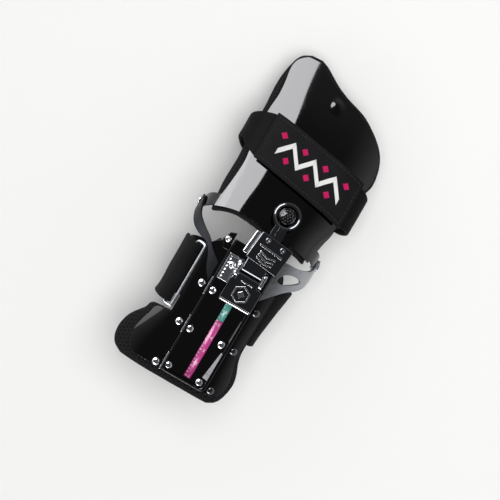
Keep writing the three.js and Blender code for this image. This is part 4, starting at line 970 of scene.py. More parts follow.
def hand_place(edge, fi, fj, high):
    """The same on the hand, whose wrist end waves by the hem."""
    first, last = edge["ahead"][0], edge["ahead"][-1]
    share = mix(first, last, 1 - (1 - fi) ** CROWDING)
    lift = along(edge, share, "hem") * along(HEM, fj, "rise")
    ahead = (share + lift) * HAND_LENGTH
    left = hand_reach(ahead, along(edge, share, "left") * HAND_HALF, high)
    right_edge = hand_reach(ahead, along(edge, share, "right") * HAND_HALF, high)
    u = mix(left, right_edge, fj)
    inside = np.minimum(np.minimum(u - left, right_edge - u), (share - first) * HAND_LENGTH)
    return ahead, u, np.minimum(inside, (last - share) * HAND_LENGTH)


start_back = float(forearm_place(FOREARM_PLATE, np.array(0.0), np.array(0.0), PLATE_TOP)[0])
print("the forearm plate starts", round(start_back, 1), "mm behind the hinge line")

# %% [markdown]
# ## Liners
# Each liner is a pad of 4 mm spacer mesh, a little wider than its plate, with its rim pressed thin and
# smooth. A cloth simulation could settle it, but it is stiff and lies against the plate, so it is
# shaped in code: a pressed rim, and a slight swell between the edges. A field called rim tells the
# material how far inside the edge each point lies.

# %% Build the liners
RIM = 5.0  # width of the pressed rim
PRESSED = 0.9  # how much thinner each face of the rim is
SWELL = 0.12
SWELL_LONG = 9.0
SWELL_WIDE = 7.0
CELLS_FROM = 1.2  # the cells start this far inside the edge
CELLS_FADE = 2.0
ROWS = 130
COLUMNS = 90


def pad(name, edge, place, point, body, replaced):
    """A liner: a soft sheet with a pressed rim and a slight swell between its edges."""

    def surface(fi, fj, side):
        run, u, inside = place(edge, fi, fj, LINER)
        press = PRESSED * (1 - smooth(inside / RIM))
        swell = SWELL * np.sin(run / SWELL_LONG) * np.sin(u / SWELL_WIDE) * smooth(inside / RIM)
        return point(run, u, LINER - press if side else press + swell)

    def cut(fi, fj):
        run, u, _ = place(edge, fi, fj, LINER)
        return stack(u, run)

    part = sheet(ROWS, COLUMNS, surface, cut)
    fi, fj = np.meshgrid(np.arange(ROWS + 1) / ROWS, np.arange(COLUMNS + 1) / COLUMNS, indexing="ij")
    inside = smooth((place(edge, fi, fj, LINER)[2] - CELLS_FROM) / CELLS_FADE).ravel()
    made = piece(name, part, spacer_mesh, body, replaced, edge=0.8,
                 fields={RIM_FIELD: np.concatenate([inside, inside])})
    return made


pad("forearm_liner_pad", FOREARM_LINER, forearm_place, forearm_point, "forearm", ["forearm_liner"])
pad("hand_liner_pad", HAND_LINER, hand_place, hand_point, "hand", ["hand_liner"])
print("each liner has", ROWS * COLUMNS, "cells on each face")

# %% [markdown]
# ## Plates
# Both plates are sheet metal, cut, bent and polished before plating. A single face with a Solidify
# modifier would be quicker, but two faces worked out from the arch seat exactly on the liner. The hand
# plate has a stamped dimple near the fingertips, raised in the sheet itself, because only a real shape
# bends the reflections as the eye expects.

# %% Build the plates
DIMPLE_AHEAD = 100
DIMPLE_U = -2.5
DIMPLE_RADIUS = 5.5
DIMPLE_RISE = 0.75
DIMPLE_STEEPER = 0.45
DIMPLE_LEAN = (0.85, -0.5)


def dimple(ahead, u):
    """A stamped dimple: it rises steeply at its front left and runs out softly behind."""
    da, du = ahead - DIMPLE_AHEAD, u - DIMPLE_U
    distance = np.hypot(da, du)
    toward_front_left = (DIMPLE_LEAN[0] * da + DIMPLE_LEAN[1] * du) / np.maximum(distance, 0.1)
    steep = 1 + DIMPLE_STEEPER * toward_front_left
    return DIMPLE_RISE * smooth(1 - distance * steep / DIMPLE_RADIUS)


def plate_part(edge, place, point, rise=None):
    """A metal plate: the same arch, above the liner, at its own thickness."""

    def surface(fi, fj, side):
        run, u, _ = place(edge, fi, fj, PLATE_TOP)
        lift = rise(run, u) if rise else 0
        return point(run, u, (PLATE_TOP if side else PLATE_LOW) + lift)

    def cut(fi, fj):
        run, u, _ = place(edge, fi, fj, PLATE_TOP)
        return stack(u, run)

    return sheet(ROWS, COLUMNS, surface, cut)


forearm_shell = plate_part(FOREARM_PLATE, forearm_place, forearm_point)
piece("forearm_plate_shell", forearm_shell, black_nickel, "forearm",
      ["forearm_plate"], edge=0.4)
print("dimple", 2 * DIMPLE_RADIUS, "mm across and", DIMPLE_RISE, "mm high")

# %% [markdown]
# ## The hand plate's ears
# At the wrist the hand plate has an ear on each side, folded down to the pivots inside the side arms.
# They look like part of the same blank. They could be cut out of one large grid, but a narrow
# strip for each keeps the plate's own rows straight. The three are one piece, lapped as if forged.

# %% Build the hand plate with its ears
EAR = table(
    "at low high", (0, -0.004, 0.06), (0.3, -0.022, 0.056), (0.6, -0.036, 0.046), (0.86, -0.036, 0.036),
    (0.96, -0.024, 0.024), (1, -0.01, 0.01),
)
EAR_BELOW = 5
EAR_LAP = 1.5
EAR_UPRIGHT = 0.45  # past this share of its run an ear keeps the pivots' own arch
EAR_ROWS = 36
EAR_COLUMNS = 14
WELD = 0.05  # solids of one piece run this far into each other


def hand_ear(side):
    """An ear of the hand plate: it folds down to the pivot, inside the forearm's ear."""
    flat = FLAT_LEFT if side < 0 else FLAT_RIGHT
    shoulder = SHOULDER_LEFT if side < 0 else SHOULDER_RIGHT
    edge = HAND_PLATE["left" if side < 0 else "right"][0] * HAND_HALF
    start = float(hand_reach(0.0, edge, PLATE_TOP)) - side * EAR_LAP
    end = side * (flat + shoulder * QUARTER + CROWN - shoulder + EAR_BELOW)

    def surface(fi, fj, face):
        ahead = mix(along(EAR, fi, "low"), along(EAR, fi, "high"), fj) * HAND_LENGTH
        off = PLATE_TOP - WELD if face else PLATE_LOW + WELD
        upright = 1 - np.minimum(fi / EAR_UPRIGHT, 1)
        return hand_point(ahead, mix(start, end, fi), off, ahead * upright)

    return sheet(EAR_ROWS, EAR_COLUMNS, surface, lambda fi, fj: stack(mix(start, end, fi), fj * 10))


hand_shell = joined(plate_part(HAND_PLATE, hand_place, hand_point, dimple), hand_ear(-1), hand_ear(1))
piece("hand_plate_shell", hand_shell, black_nickel, "hand", ["hand_plate"], edge=0.4)
print("the hand plate has", len(hand_shell[1]), "faces")

# %% [markdown]
# ## Side arms
# Two arms are bent from 1.5 mm sheet over the plates and down to the pivots. The left one is a plain
# crank in blackened satin steel. The right one is a wishbone in satin steel: a window between its legs is
# left out of the grid, cell by cell. A boolean would cut it too, but this keeps its edges as clean as
# a stamping.

# %% Build the side arms
RAIL_LEFT = -13.3
RAIL_WIDTH = 33.8
RAIL_RIGHT = RAIL_LEFT + RAIL_WIDTH
SLIDE_FIT = 0.4
ARM_UPRIGHT = 0.55
ARM_LEFT = table(
    "at front rear", (0, 0.24, 0.36), (0.1, 0.205, 0.3), (0.18, 0.17, 0.215), (0.26, 0.135, 0.174),
    (0.42, 0.095, 0.155), (0.6, 0.045, 0.125), (0.75, -0.03, 0.085), (0.9, -0.042, 0.05),
    (0.97, -0.03, 0.034), (1, -0.014, 0.016),
)
ARM_RIGHT = table(
    "at front rear", (0, 0.045, 0.315), (0.15, 0.045, 0.25), (0.3, 0.045, 0.2), (0.5, 0.035, 0.165),
    (0.65, 0.01, 0.13), (0.78, -0.03, 0.07), (0.9, -0.042, 0.045), (0.97, -0.03, 0.032), (1, -0.014, 0.016),
)
# The window's two edges, as shares of the arm's width, from its start to its end along the arm
WINDOW = table(
    "at front rear",
    (0.08, 0.46, 0.5), (0.14, 0.32, 0.6), (0.26, 0.3, 0.68), (0.4, 0.42, 0.66), (0.46, 0.55, 0.6),
)
BLADE_ROWS = 72
BLADE_COLUMNS = 18


def side_arm(side, root_x, edges, window=None):
    """An arm from its root on the plate over the shoulder and down to the pivot."""
    start = float(forearm_reach(0.0, root_x, ARM_TOP))
    flat = FLAT_LEFT if side < 0 else FLAT_RIGHT
    shoulder = SHOULDER_LEFT if side < 0 else SHOULDER_RIGHT
    end = side * (flat + shoulder * QUARTER + CROWN - shoulder + EAR_BELOW)

    def share_across(fi, fj):
        if window is None:
            return fj
        front = along(window, fi, "front")
        rear = along(window, fi, "rear")
        third = np.where(fj < 1 / 3, fj * 3 * front, mix(rear, 1, (fj - 2 / 3) * 3))
        return np.where((fj >= 1 / 3) & (fj <= 2 / 3), mix(front, rear, (fj - 1 / 3) * 3), third)

    def surface(fi, fj, face):
        front, rear = along(edges, fi, "front"), along(edges, fi, "rear")
        back = mix(front, rear, share_across(fi, fj)) * FOREARM_REACH
        arch_back = mix(back, 0, np.minimum(fi / ARM_UPRIGHT, 1))
        return forearm_point(back, mix(start, end, fi), ARM_TOP if face else ARM_LOW, arch_back)

    def keep(fi, fj):
        if window is None:
            return True
        return not (window["at"][0] < fi < window["at"][-1] and 1 / 3 < fj < 2 / 3)

    def cut(fi, fj):
        return stack(mix(start, end, fi), fj * 12)

    return sheet(BLADE_ROWS, BLADE_COLUMNS, surface, cut, keep=keep)


left_arm = side_arm(-1, RAIL_LEFT - GAP - ARM_SHEET, ARM_LEFT)
right_arm = side_arm(1, RAIL_RIGHT + SLIDE_FIT, ARM_RIGHT, WINDOW)
piece("arm_left_crank", left_arm, dark_satin, "forearm", ["arm_left"], edge=0.35)
piece("arm_right_wishbone", right_arm, satin, "forearm", ["arm_right"], edge=0.35)
print("window", len(left_arm[1]) - len(right_arm[1]), "faces fewer in the right arm")

# %% [markdown]
# ## Pivots
# Each side is hinged on a riveted pin, with a domed head outside and a flat one inside. Such a
# head is upset in place. It is turned here from one profile, so that head and shank are a
# single body, and the pin lies exactly on the wrist joint's axis.

# %% Build the pivots
PIVOT_RADIUS = 1.6
PIVOT_HEAD = 3.2
PIVOT_CAP = 1.2


def pivot(side):
    """A riveted pin: a domed head outside, a shank through both ears and a flat head inside."""
    outer = HALF_SPAN + ARM_SHEET + GAP
    inner = HALF_SPAN - ARM_LOW + PLATE_LOW - GAP
    profile = [
        (0, inner - PIVOT_CAP), (PIVOT_HEAD - 0.8, inner - PIVOT_CAP),
        (PIVOT_HEAD - 0.5, inner - PIVOT_CAP + 0.3), (PIVOT_HEAD - 0.5, inner), (PIVOT_RADIUS, inner),
        (PIVOT_RADIUS, outer), (PIVOT_HEAD, outer),
        (PIVOT_HEAD, outer + 0.35), (PIVOT_HEAD - 0.5, outer + 0.85), (PIVOT_HEAD - 1.4, outer + 1.15),
        (0, outer + PIVOT_CAP),
    ]
    place = Matrix.Translation((0, HINGE_Y, PIVOT_HEIGHT)) @ Matrix.Rotation(side * QUARTER, 4, "Y")
    return turned(profile, 32, place)


for side, word in ((-1, "left"), (1, "right")):
    piece(f"pivot_pin_{word}", pivot(side), chrome, "forearm", [f"pivot_{word}"])
print("pins", round(2 * PIVOT_RADIUS, 1), "mm thick")

# %% [markdown]
# ## Flat outlines
# Most of the slide is plate, cut to straight lines and round corners. A curve object could draw them,
# but the points are needed by name, so these functions give arcs, boxes and polygons as lists.

# %% Flat outlines


def arc(cx, cy, radius, start, end, steps=10):
    """Points on an arc, in degrees."""
    angles = np.radians(np.linspace(start, end, steps + 1))
    return [(cx + radius * math.cos(a), cy + radius * math.sin(a)) for a in angles]


def box_outline(x0, y0, x1, y1, corner=0.0):
    """A box, with round corners where a radius is given."""
    if not corner:
        return [(x0, y0), (x1, y0), (x1, y1), (x0, y1)]
    turns = ((x1, y0, 1, -1), (x1, y1, 1, 1), (x0, y1, -1, 1), (x0, y0, -1, -1))
    line = []
    for k, (x, y, right_hand, upper) in enumerate(turns):
        start = 90 * k - 90
        line += arc(x - right_hand * corner, y - upper * corner, corner, start, start + 90, 6)
    return line


def polygon(cx, cy, radius, sides, turn=0.0):
    """A polygon about a middle; with many sides it is a circle."""
    return arc(cx, cy, radius, turn, turn + 360, sides)[:-1]


print("a rounded box has", len(box_outline(0, 0, 4, 4, 1)), "points")

# %% [markdown]
# ## Rail
# The rail is a shallow channel of polished sheet with rounded lower corners. It could be extruded as
# one section, but the corners round in plan, so its floor and its wall are two plates cut to the same
# line, one inside the other.

# %% Build the rail
RAIL_WALL = 4.2
WALL_LEFT = 1.5
WALL_RIGHT = 2.4
RAIL_TOP_BACK = 8
RAIL_LIP = 1.6
RAIL_CORNER = 4
RAIL_END = 0.945 * FOREARM_REACH


def channel(left, right_x, low, corner, top):
    """The rail's outline from its open end, down and round the lower corners."""
    return (
        [(left, top)] + arc(left + corner, low + corner, corner, 180, 270)
        + arc(right_x - corner, low + corner, corner, 270, 360) + [(right_x, top)]
    )


rail_top = HINGE_Y - RAIL_TOP_BACK
rail_low = HINGE_Y - RAIL_END
outer_line = channel(RAIL_LEFT, RAIL_RIGHT, rail_low, RAIL_CORNER, rail_top)
inner_line = channel(
    RAIL_LEFT + WALL_LEFT, RAIL_RIGHT - WALL_RIGHT, rail_low + RAIL_LIP, RAIL_CORNER - WALL_LEFT, rail_top
)
wall_line = outer_line + inner_line[::-1]
rail_part = joined(
    cut_plate([outer_line], RAIL_Z, RAIL_FLOOR_Z), cut_plate([wall_line], RAIL_Z + 0.02, RAIL_Z + RAIL_WALL)
)
piece("rail_channel", rail_part, black_nickel, "forearm", ["rail"], edge=0.6)
print("rail", round(rail_top - rail_low), "mm long")

# %% [markdown]
# ## The rail's painted highlight edges
# The right wall leans out over the floor where it was rolled, and the left one has three short tabs
# beside the rivets. Both are a brighter metal than the rail, a painted highlight that draws its thin
# light lines. Bright paint on the edge would look flat, so each is a sliver of metal of its own.

# %% Build the rail's edges


def wall_roll(y0, wide0, y1, wide1):
    """A stretch of the right wall's inner face, leaning over the floor by one width, then another."""
    x = RAIL_RIGHT - WALL_RIGHT
    top, low = RAIL_Z + RAIL_WALL - 0.15, RAIL_FLOOR_Z - 0.02
    points = []
    for y, wide in ((y0, wide0), (y1, wide1)):
        points += [(x + 0.3, y, low), (x + 0.3, y, top), (x, y, top), (x - wide, y, low)]
    faces = [(0, 1, 2, 3), (7, 6, 5, 4)] + [(k, k + 4, (k + 1) % 4 + 4, (k + 1) % 4) for k in range(4)]
    points = np.array(points)
    return points, outward(points, faces), points[:, :2].copy()


# Two stretches of the wall: where each starts and ends, and how far it leans there
ROLLS = ((-24, 0.8, -8, 0.4), (-54, 3.5, -33, 0.9))
rolls = joined(*(wall_roll(*stretch) for stretch in ROLLS))
# The lean is real shape; the satin metal, lighter than the black nickel wall, is painted highlight
piece("rail_wall_roll_painted_highlight", rolls, satin, "forearm", edge=0.2)

# The rows of rivets: where across, where along, and what they sit on
RIVET_ROWS = (
    ("wing_left", -0.39, (0.39, 0.652, 0.925), "plate"), ("rail_left", -0.205, (0.395, 0.655, 0.905), "rail"),
    ("rail_right", 0.325, (0.647, 0.905), "rail"), ("wing_right", 0.537, (0.39, 0.65, 0.918), "plate"),
)
TAB_LONG = 13
TAB_AHEAD = 2  # of its rivet
for k, share in enumerate(RIVET_ROWS[1][2]):
    middle = HINGE_Y - share * FOREARM_REACH + TAB_AHEAD
    line = box_outline(RAIL_LEFT - 0.45, middle - TAB_LONG / 2, RAIL_LEFT + 0.5, middle + TAB_LONG / 2)
    tab = cut_plate([line], RAIL_Z + RAIL_WALL - 0.3, RAIL_Z + RAIL_WALL + 0.35)
    # Chrome tabs on the black nickel rail: painted highlight beside the rivets
    piece(f"rail_highlight_tab_{k + 1}", tab, chrome, "forearm", edge=0.25)
print("painted highlight tabs:", len(RIVET_ROWS[1][2]))

# %% [markdown]
# ## The scale
# A strip of vinyl film lies in the rail, pink in one half and teal in the other, to set the carriage
# by. A two-colour texture would blur at the join, so it is two thin plates with a hair's gap.

# %% Build the scale's film
SCALE_X = 5.5
SCALE_WIDTH = 4.8
SCALE_LOW = HINGE_Y - 0.913 * FOREARM_REACH
SCALE_JOIN = HINGE_Y - 0.53 * FOREARM_REACH
SCALE_HIGH = HINGE_Y - 0.33 * FOREARM_REACH
FILM_LOW = RAIL_FLOOR_Z + 0.01
FILM_TOP = RAIL_FLOOR_Z + 0.14
INK_TOP = FILM_TOP + 0.03


def film(y0, y1):
    """A length of film in the rail."""
    line = box_outline(SCALE_X - SCALE_WIDTH / 2, y0, SCALE_X + SCALE_WIDTH / 2, y1)
    return cut_plate([line], FILM_LOW, FILM_TOP)


film_low = film(SCALE_LOW, SCALE_JOIN - GAP / 2)
film_high = film(SCALE_JOIN + GAP / 2, SCALE_HIGH)
piece("scale_film_low", film_low, pink_film, "forearm", ["scale_low"])
piece("scale_film_high", film_high, teal_film, "forearm", ["scale_high"])
print("scale", round(SCALE_HIGH - SCALE_LOW), "mm long")

# %% [markdown]
# ## Ticks and numbers
# The print on the film is plain ticks, each fourth one longer, and a number beside it. Printed as a
# picture it would smear up close. Ticks are thin plates and the numbers are text made into mesh, both a
# few hundredths of a millimetre thick, as ink is.

# %% Build the ticks and the numbers
TICK_STEP = 2.5
TICK_HALF = 0.16
LONG_TICK = 1.7
SHORT_TICK = 1.0
TICKS_A_NUMBER = 4
FIRST_TICK = SCALE_LOW + 1.2
ticks = []
for k in range(int((SCALE_HIGH - SCALE_LOW) / TICK_STEP)):
    y = FIRST_TICK + k * TICK_STEP
    length = SHORT_TICK if k % TICKS_A_NUMBER else LONG_TICK
    left = SCALE_X - SCALE_WIDTH / 2 + 0.3
    line = box_outline(left, y - TICK_HALF, left + length, y + TICK_HALF)
    ticks.append(cut_plate([line], FILM_TOP, INK_TOP))
piece("scale_ticks", joined(*ticks), film_ink, "forearm")


def number(text, x, y, size):
    """A number as flat mesh faces, lying in the rail."""
    curve = bpy.data.curves.new("number", "FONT")
    curve.body = text
    curve.size = size * MM
    curve.align_x = "CENTER"
    curve.align_y = "CENTER"
    curve.extrude = 0.015 * MM
    holder = bpy.data.objects.new("number", curve)
    bpy.context.scene.collection.objects.link(holder)
    mesh = bpy.data.meshes.new_from_object(holder)
    bpy.data.objects.remove(holder)
    flat = np.array([v.co for v in mesh.vertices]).reshape(-1, 3) / MM
    flat += (x, y, FILM_TOP + 0.02)
    faces = [tuple(p.vertices) for p in mesh.polygons]
    bpy.data.meshes.remove(mesh)
    return flat, faces, flat[:, :2].copy()


NUMBER_SIZE = 2.9
numbers = [
    number(str(k + 1), SCALE_X + 0.9, FIRST_TICK + TICKS_A_NUMBER * k * TICK_STEP, NUMBER_SIZE)
    for k in range(int((SCALE_HIGH - SCALE_LOW - 3) / (TICKS_A_NUMBER * TICK_STEP)) + 1)
]
piece("scale_numbers", joined(*numbers), film_ink, "forearm")
print(len(ticks), "ticks and", len(numbers), "numbers")

# %% [markdown]
# ## Rivets
# Domed rivets fasten the rail and the plate. They sit level in the rail and square to the sheet beside
# it, so each leans by the arch's own angle at its place. Copies of one head would do, but turning each
# in place needs no second step. The right wing's are the same chrome rivets, given the darker chrome as
# painted shade.

# %% Build the rivets
RIVET_RADIUS = 2.7
RIVET_HEIGHT = 1.5
FLANK = 0.12  # the upright edge under the dome
ROUND = 28  # sides of a turned head


def dome(radius, height):
    """The profile of a domed head, flat underneath."""
    steps = np.radians(np.linspace(0, 90, 9))
    rounded = [(radius * math.cos(a), FLANK + (height - FLANK) * math.sin(a)) for a in steps[:-1]]
    return [(0, 0), (radius, 0)] + rounded + [(0, height)]


for word, x_share, backs, seat in RIVET_ROWS:
    for k, share in enumerate(backs):
        x = x_share * FOREARM_HALF
        back = share * FOREARM_REACH
        if seat == "rail":
            place = Matrix.Translation((x, HINGE_Y - back, RAIL_FLOOR_Z + GAP))
        else:
            flat, radius = (float(v) for v in forearm_bend(back, x))
            u = float(reach(x, ARM_LOW, flat, radius))
            lean = math.copysign(min(max((abs(u) - flat) / radius, 0), QUARTER), x)
            spot = forearm_point(back, u, ARM_LOW)
            place = Matrix.Translation(Vector(spot)) @ Matrix.Rotation(lean, 4, "Y")
        name = f"{word}_{k + 1}"
        head = turned(dome(RIVET_RADIUS, RIVET_HEIGHT), ROUND, place)
        # The right wing's rivets take the darker chrome as painted shade; the others are plain chrome
        plating_and_painted_shade = dark_chrome if word == "wing_right" else chrome
        piece(f"rivet_head_{name}", head, plating_and_painted_shade, "forearm", [f"rivet_{name}"])
print("rivets:", sum(len(row[2]) for row in RIVET_ROWS))

# %% [markdown]
# ## The wrist strap
# Both straps are nylon webbing, which is stiff across and soft along, so they are modelled straight
# on their paths and not simulated. The wrist strap is sewn to the liner at the right, goes round
# under the wrist, turns round the bar of a wire loop at the left and lies back on itself. Each
# stretch of that way is a small function, and the sheet is drawn through them in turn.

# %% Build the wrist strap
STRAP_SHARE = STRAP_BACK / FOREARM_REACH
PLATE_EDGE_X = float(along(FOREARM_PLATE, STRAP_SHARE, "left")) * FOREARM_HALF
SEAM_X = float(along(FOREARM_LINER, STRAP_SHARE, "right")) * FOREARM_HALF + GAP
BAR_INNER_X = PLATE_EDGE_X - GAP - BAR / 2
FOLD_IN = BAR / 2 + GAP
BAR_OUTER_X = BAR_INNER_X - BAR / 2 - CLOTH_FIT - STRAP - FOLD_IN
BAR_OUTER_OFF = GAP + STRAP + FOLD_IN
UNDER_FLAT = {-1: 20, 1: 15}
TAIL_TURN = 0.16


def under_point(side, turn, back, off):
    """Below the shoulder the strap turns under in a quarter of an ellipse."""
    flat, radius = forearm_bend(back, side * 1.0)
    centre = side * UNDER_FLAT[side]
    wide = flat + radius - UNDER_FLAT[side]
    top = SKIN_Z - radius
    tall = top - STRAP - GAP
    x = centre + side * (wide + off) * math.cos(turn)
    return stack(x, HINGE_Y - back, top - (tall + off) * math.sin(turn))


def strap_path():
    """The strap's stations in order; each gives a row of points for one of its two faces."""
    skin = (GAP, GAP + STRAP)
    low = GAP + STRAP + GAP
    stations = []

    def down_right(back, face, t):
        flat, radius = forearm_bend(back, 1.0)
        start = forearm_reach(back, SEAM_X, LINER) + GAP
        return forearm_point(back, mix(start, flat + radius * QUARTER, t), skin[face])

    def up_left(back, face, t):
        flat, radius = forearm_bend(back, -1.0)
        end = forearm_reach(back, BAR_OUTER_X, GAP)
        return forearm_point(back, mix(-flat - radius * QUARTER, end, t), skin[face])

    def round_bar(back, face, t):
        u = forearm_reach(back, BAR_OUTER_X, BAR_OUTER_OFF)
        spot = forearm_point(back, u, BAR_OUTER_OFF)
        higher = forearm_point(back, u, BAR_OUTER_OFF + 1)
        upright = np.arctan2(higher[..., 2] - spot[..., 2], higher[..., 0] - spot[..., 0])
        turn_by = upright - math.pi + math.pi * t
        radius = FOLD_IN if face else FOLD_IN + STRAP
        return spot + stack(radius * np.cos(turn_by), 0 * back, radius * np.sin(turn_by))

    def lie_back(back, face, t):
        flat, radius = forearm_bend(back, -1.0)
        start = forearm_reach(back, BAR_OUTER_X - FOLD_IN, BAR_OUTER_OFF)
        rise = (1 - t) ** 2 * (BAR_OUTER_OFF + FOLD_IN - low)
        off = low + rise + (0 if face else STRAP)
        return forearm_point(back, mix(start, -flat - radius * QUARTER, t), off)

    for t in np.linspace(0, 1, 15):
        stations.append(lambda back, face, t=t: down_right(back, face, t))
    for t in np.linspace(0, 1, 17)[1:]:
        stations.append(lambda back, face, t=t: under_point(1, QUARTER * t, back, skin[face]))
    for t in np.linspace(1, 0, 17):
        stations.append(lambda back, face, t=t: under_point(-1, QUARTER * t, back, skin[face]))
    for t in np.linspace(0, 1, 9)[1:]:
        stations.append(lambda back, face, t=t: up_left(back, face, t))
    for t in np.linspace(0, 1, 15)[1:]:
        stations.append(lambda back, face, t=t: round_bar(back, face, t))
    for t in np.linspace(0, 1, 15)[1:]:
        stations.append(lambda back, face, t=t: lie_back(back, face, t))
    stations.append(lambda back, face: under_point(-1, TAIL_TURN, back, low + (0 if face else STRAP)))
    return stations


def path_sheet(stations, widths, centre, columns):
    """A strap from stations, with the length along it as its flat place."""
    count = len(stations) - 1

    def rows_of(face):
        return np.array([station(centre + widths, face) for station in stations])

    faces_of = [rows_of(0), rows_of(1)]
    middle = (faces_of[0] + faces_of[1]).mean(axis=1) / 2
    length = np.concatenate([[0], np.cumsum(np.linalg.norm(np.diff(middle, axis=0), axis=1))])

    def surface(fi, fj, side):
        return faces_of[side]

    def cut(fi, fj):
        return stack(widths[None, :] + 0 * fi, length[:, None] + 0 * fj)

    return sheet(count, columns, surface, cut), float(length[-1]), faces_of


STRAP_COLUMNS = 12
widths = np.linspace(-STRAP_WIDTH / 2, STRAP_WIDTH / 2, STRAP_COLUMNS + 1)
wrist_part, wrist_length, wrist_faces = path_sheet(strap_path(), widths, STRAP_BACK, STRAP_COLUMNS)
wrist_strap = piece("wrist_strap_web", wrist_part, webbing, "forearm", ["wrist_strap"], edge=0.7)
print("wrist strap is", round(wrist_length), "mm long")

# %% [markdown]
# ## The strap's loop
# The strap turns round a loop of round wire, bent to a rounded box. It is swept along
# its path as the wire would be bent: one long side lies by the plate, the other in the strap's fold.

# %% Build the strap's loop
LOOP_CORNER = 2.6


def loop_path():
    """The loop is a rounded rectangle: one long side lies by the plate, the other in the fold."""
    front = STRAP_BACK - STRAP_WIDTH / 2 - BAR / 2 - 2 * GAP
    rear = STRAP_BACK + STRAP_WIDTH / 2 + BAR / 2 + 2 * GAP
    flat = box_outline(0, front, 1, rear)
    points = []
    for k in range(4):
        corner_at = np.array(flat[k])
        before = np.array(flat[k - 1])
        after = np.array(flat[(k + 1) % 4])
        span = np.array([1 / (BAR_INNER_X - BAR_OUTER_X + 2), 1.0])
        toward_before = np.sign(before - corner_at) * LOOP_CORNER * span
        toward_after = np.sign(after - corner_at) * LOOP_CORNER * span
        for t in np.linspace(0, 1, 7):
            a = corner_at + toward_before * (1 - t) ** 2
            points.append(a + toward_after * t**2)
    path = []
    for share, back in points:
        x = mix(BAR_INNER_X, BAR_OUTER_X, share)
        off = mix(PLATE_LOW + PLATE / 2, BAR_OUTER_OFF, share)
        path.append(forearm_point(back, forearm_reach(back, x, off), off))
    return path


loop_part = wire(loop_path(), BAR / 2, closed=True)
piece("strap_wire_loop", loop_part, satin, "forearm", ["strap_loop"])
print("loop of", BAR, "mm wire,", round(BAR_INNER_X - BAR_OUTER_X, 1), "mm wide")

# %% [markdown]
# ## The palm strap
# The palm strap is a closed loop of narrower webbing. It lies over the hand plate, drops at both sides
# and runs flat under the palm, wide on top and gathered to half its width by the thumb. Webbing this
# stiff barely folds, so a table of stations and one smooth closed curve give it without a simulation.

# %% Build the palm strap
PALM_LOOP = table(
    "across rise wide",
    (-0.62, 1, 0.96), (-0.4, 1, 1), (-0.1, 1, 1), (0.2, 1, 1), (0.5, 1, 1), (0.72, 1, 0.96), (0.9, 1, 0.9),
    (1.02, 0.93, 0.84), (1.09, 0.77, 0.78), (1.1, 0.5, 0.74), (1.04, 0.24, 0.72), (0.92, 0.07, 0.7),
    (0.78, 0, 0.7), (0.4, 0, 0.7), (0, 0, 0.7), (-0.4, 0, 0.68), (-0.62, 0.04, 0.62), (-0.82, 0.2, 0.56),
    (-0.93, 0.45, 0.5), (-0.955, 0.72, 0.5), (-0.91, 0.93, 0.6), (-0.79, 1, 0.8),
)
PALM_AHEAD = 0.415 * HAND_LENGTH
PALM_SLANT = -0.17
PALM_TOP_OFF = PLATE_TOP + CLOTH_FIT
PALM_FINE = 8  # rows of cells to a row of the table
PALM_COLUMNS = 10
NUDGE = 0.15  # how far along the loop its direction is measured


def round_trip(column, at):
    """A value from a loop's column, on a smooth closed curve; at counts rows."""
    values = PALM_LOOP[column]
    n = len(values)
    i = np.floor(at).astype(int) % n
    f = at - np.floor(at)
    p0, p1, p2, p3 = (values[(i + k) % n] for k in (-1, 0, 1, 2))
    return p1 + 0.5 * f * (p2 - p0 + f * (2 * p0 - 5 * p1 + 4 * p2 - p3 + f * (3 * (p1 - p2) + p3 - p0)))


def palm_outer(at, fj):
    """The strap's outer face, in the hand's own frame."""
    across = round_trip("across", at)
    rise = np.clip(round_trip("rise", at), 0, 1)
    wide = round_trip("wide", at)
    x = across * HAND_HALF
    ahead = PALM_AHEAD + PALM_SLANT * x + (fj - 0.5) * PALM_STRAP_WIDTH * wide
    off = PALM_TOP_OFF + PALM_STRAP
    seat = np.clip(x, -0.79 * HAND_HALF, 0.9 * HAND_HALF)
    top = hand_flat(ahead, hand_reach(ahead, seat, off), off)[2]
    table_z = (ahead * math.sin(CUP) - PIVOT_HEIGHT) / math.cos(CUP)
    return x, ahead, mix(table_z, top, rise)


def palm_surface(fi, fj, side):
    """Both faces of the strap; the inner one lies a thickness inside the outer."""
    at = fi * len(PALM_LOOP["across"])
    x, ahead, z = palm_outer(at, fj)
    if side:
        return from_hand(x, ahead, z)
    x0, _, z0 = palm_outer(at - NUDGE, fj)
    x1, _, z1 = palm_outer(at + NUDGE, fj)
    length = np.hypot(x1 - x0, z1 - z0)
    return from_hand(x + (z1 - z0) / length * PALM_STRAP, ahead, z - (x1 - x0) / length * PALM_STRAP)


palm_rows = len(PALM_LOOP["across"]) * PALM_FINE
palm_ring = palm_surface(np.arange(palm_rows) / palm_rows, np.full(palm_rows, 0.5), 1)
palm_steps = np.linalg.norm(np.roll(palm_ring, -1, axis=0) - palm_ring, axis=1)
palm_run = np.concatenate([[0], np.cumsum(palm_steps)])


def palm_cut(fi, fj):
    """The strap's flat place: across it, and along its run."""
    return stack((fj - 0.5) * PALM_STRAP_WIDTH, palm_run[np.rint(fi * palm_rows).astype(int)])


palm_part = sheet(palm_rows, PALM_COLUMNS, palm_surface, palm_cut, closed=True)
palm_strap = piece("palm_strap_web", palm_part, webbing, "hand", ["palm_strap"], edge=0.6)
print("palm strap is", round(float(palm_run[-1])), "mm round")

# %% [markdown]
# ## The tab
# A padded cloth tab is sewn over the back of the palm strap. Where the needle went in, the cloth is
# drawn down in a groove, and inside it the padding puffs up. A bump could suggest that, but the edge
# of the tab shows against the plate, so the groove and the puff are in the sheet.

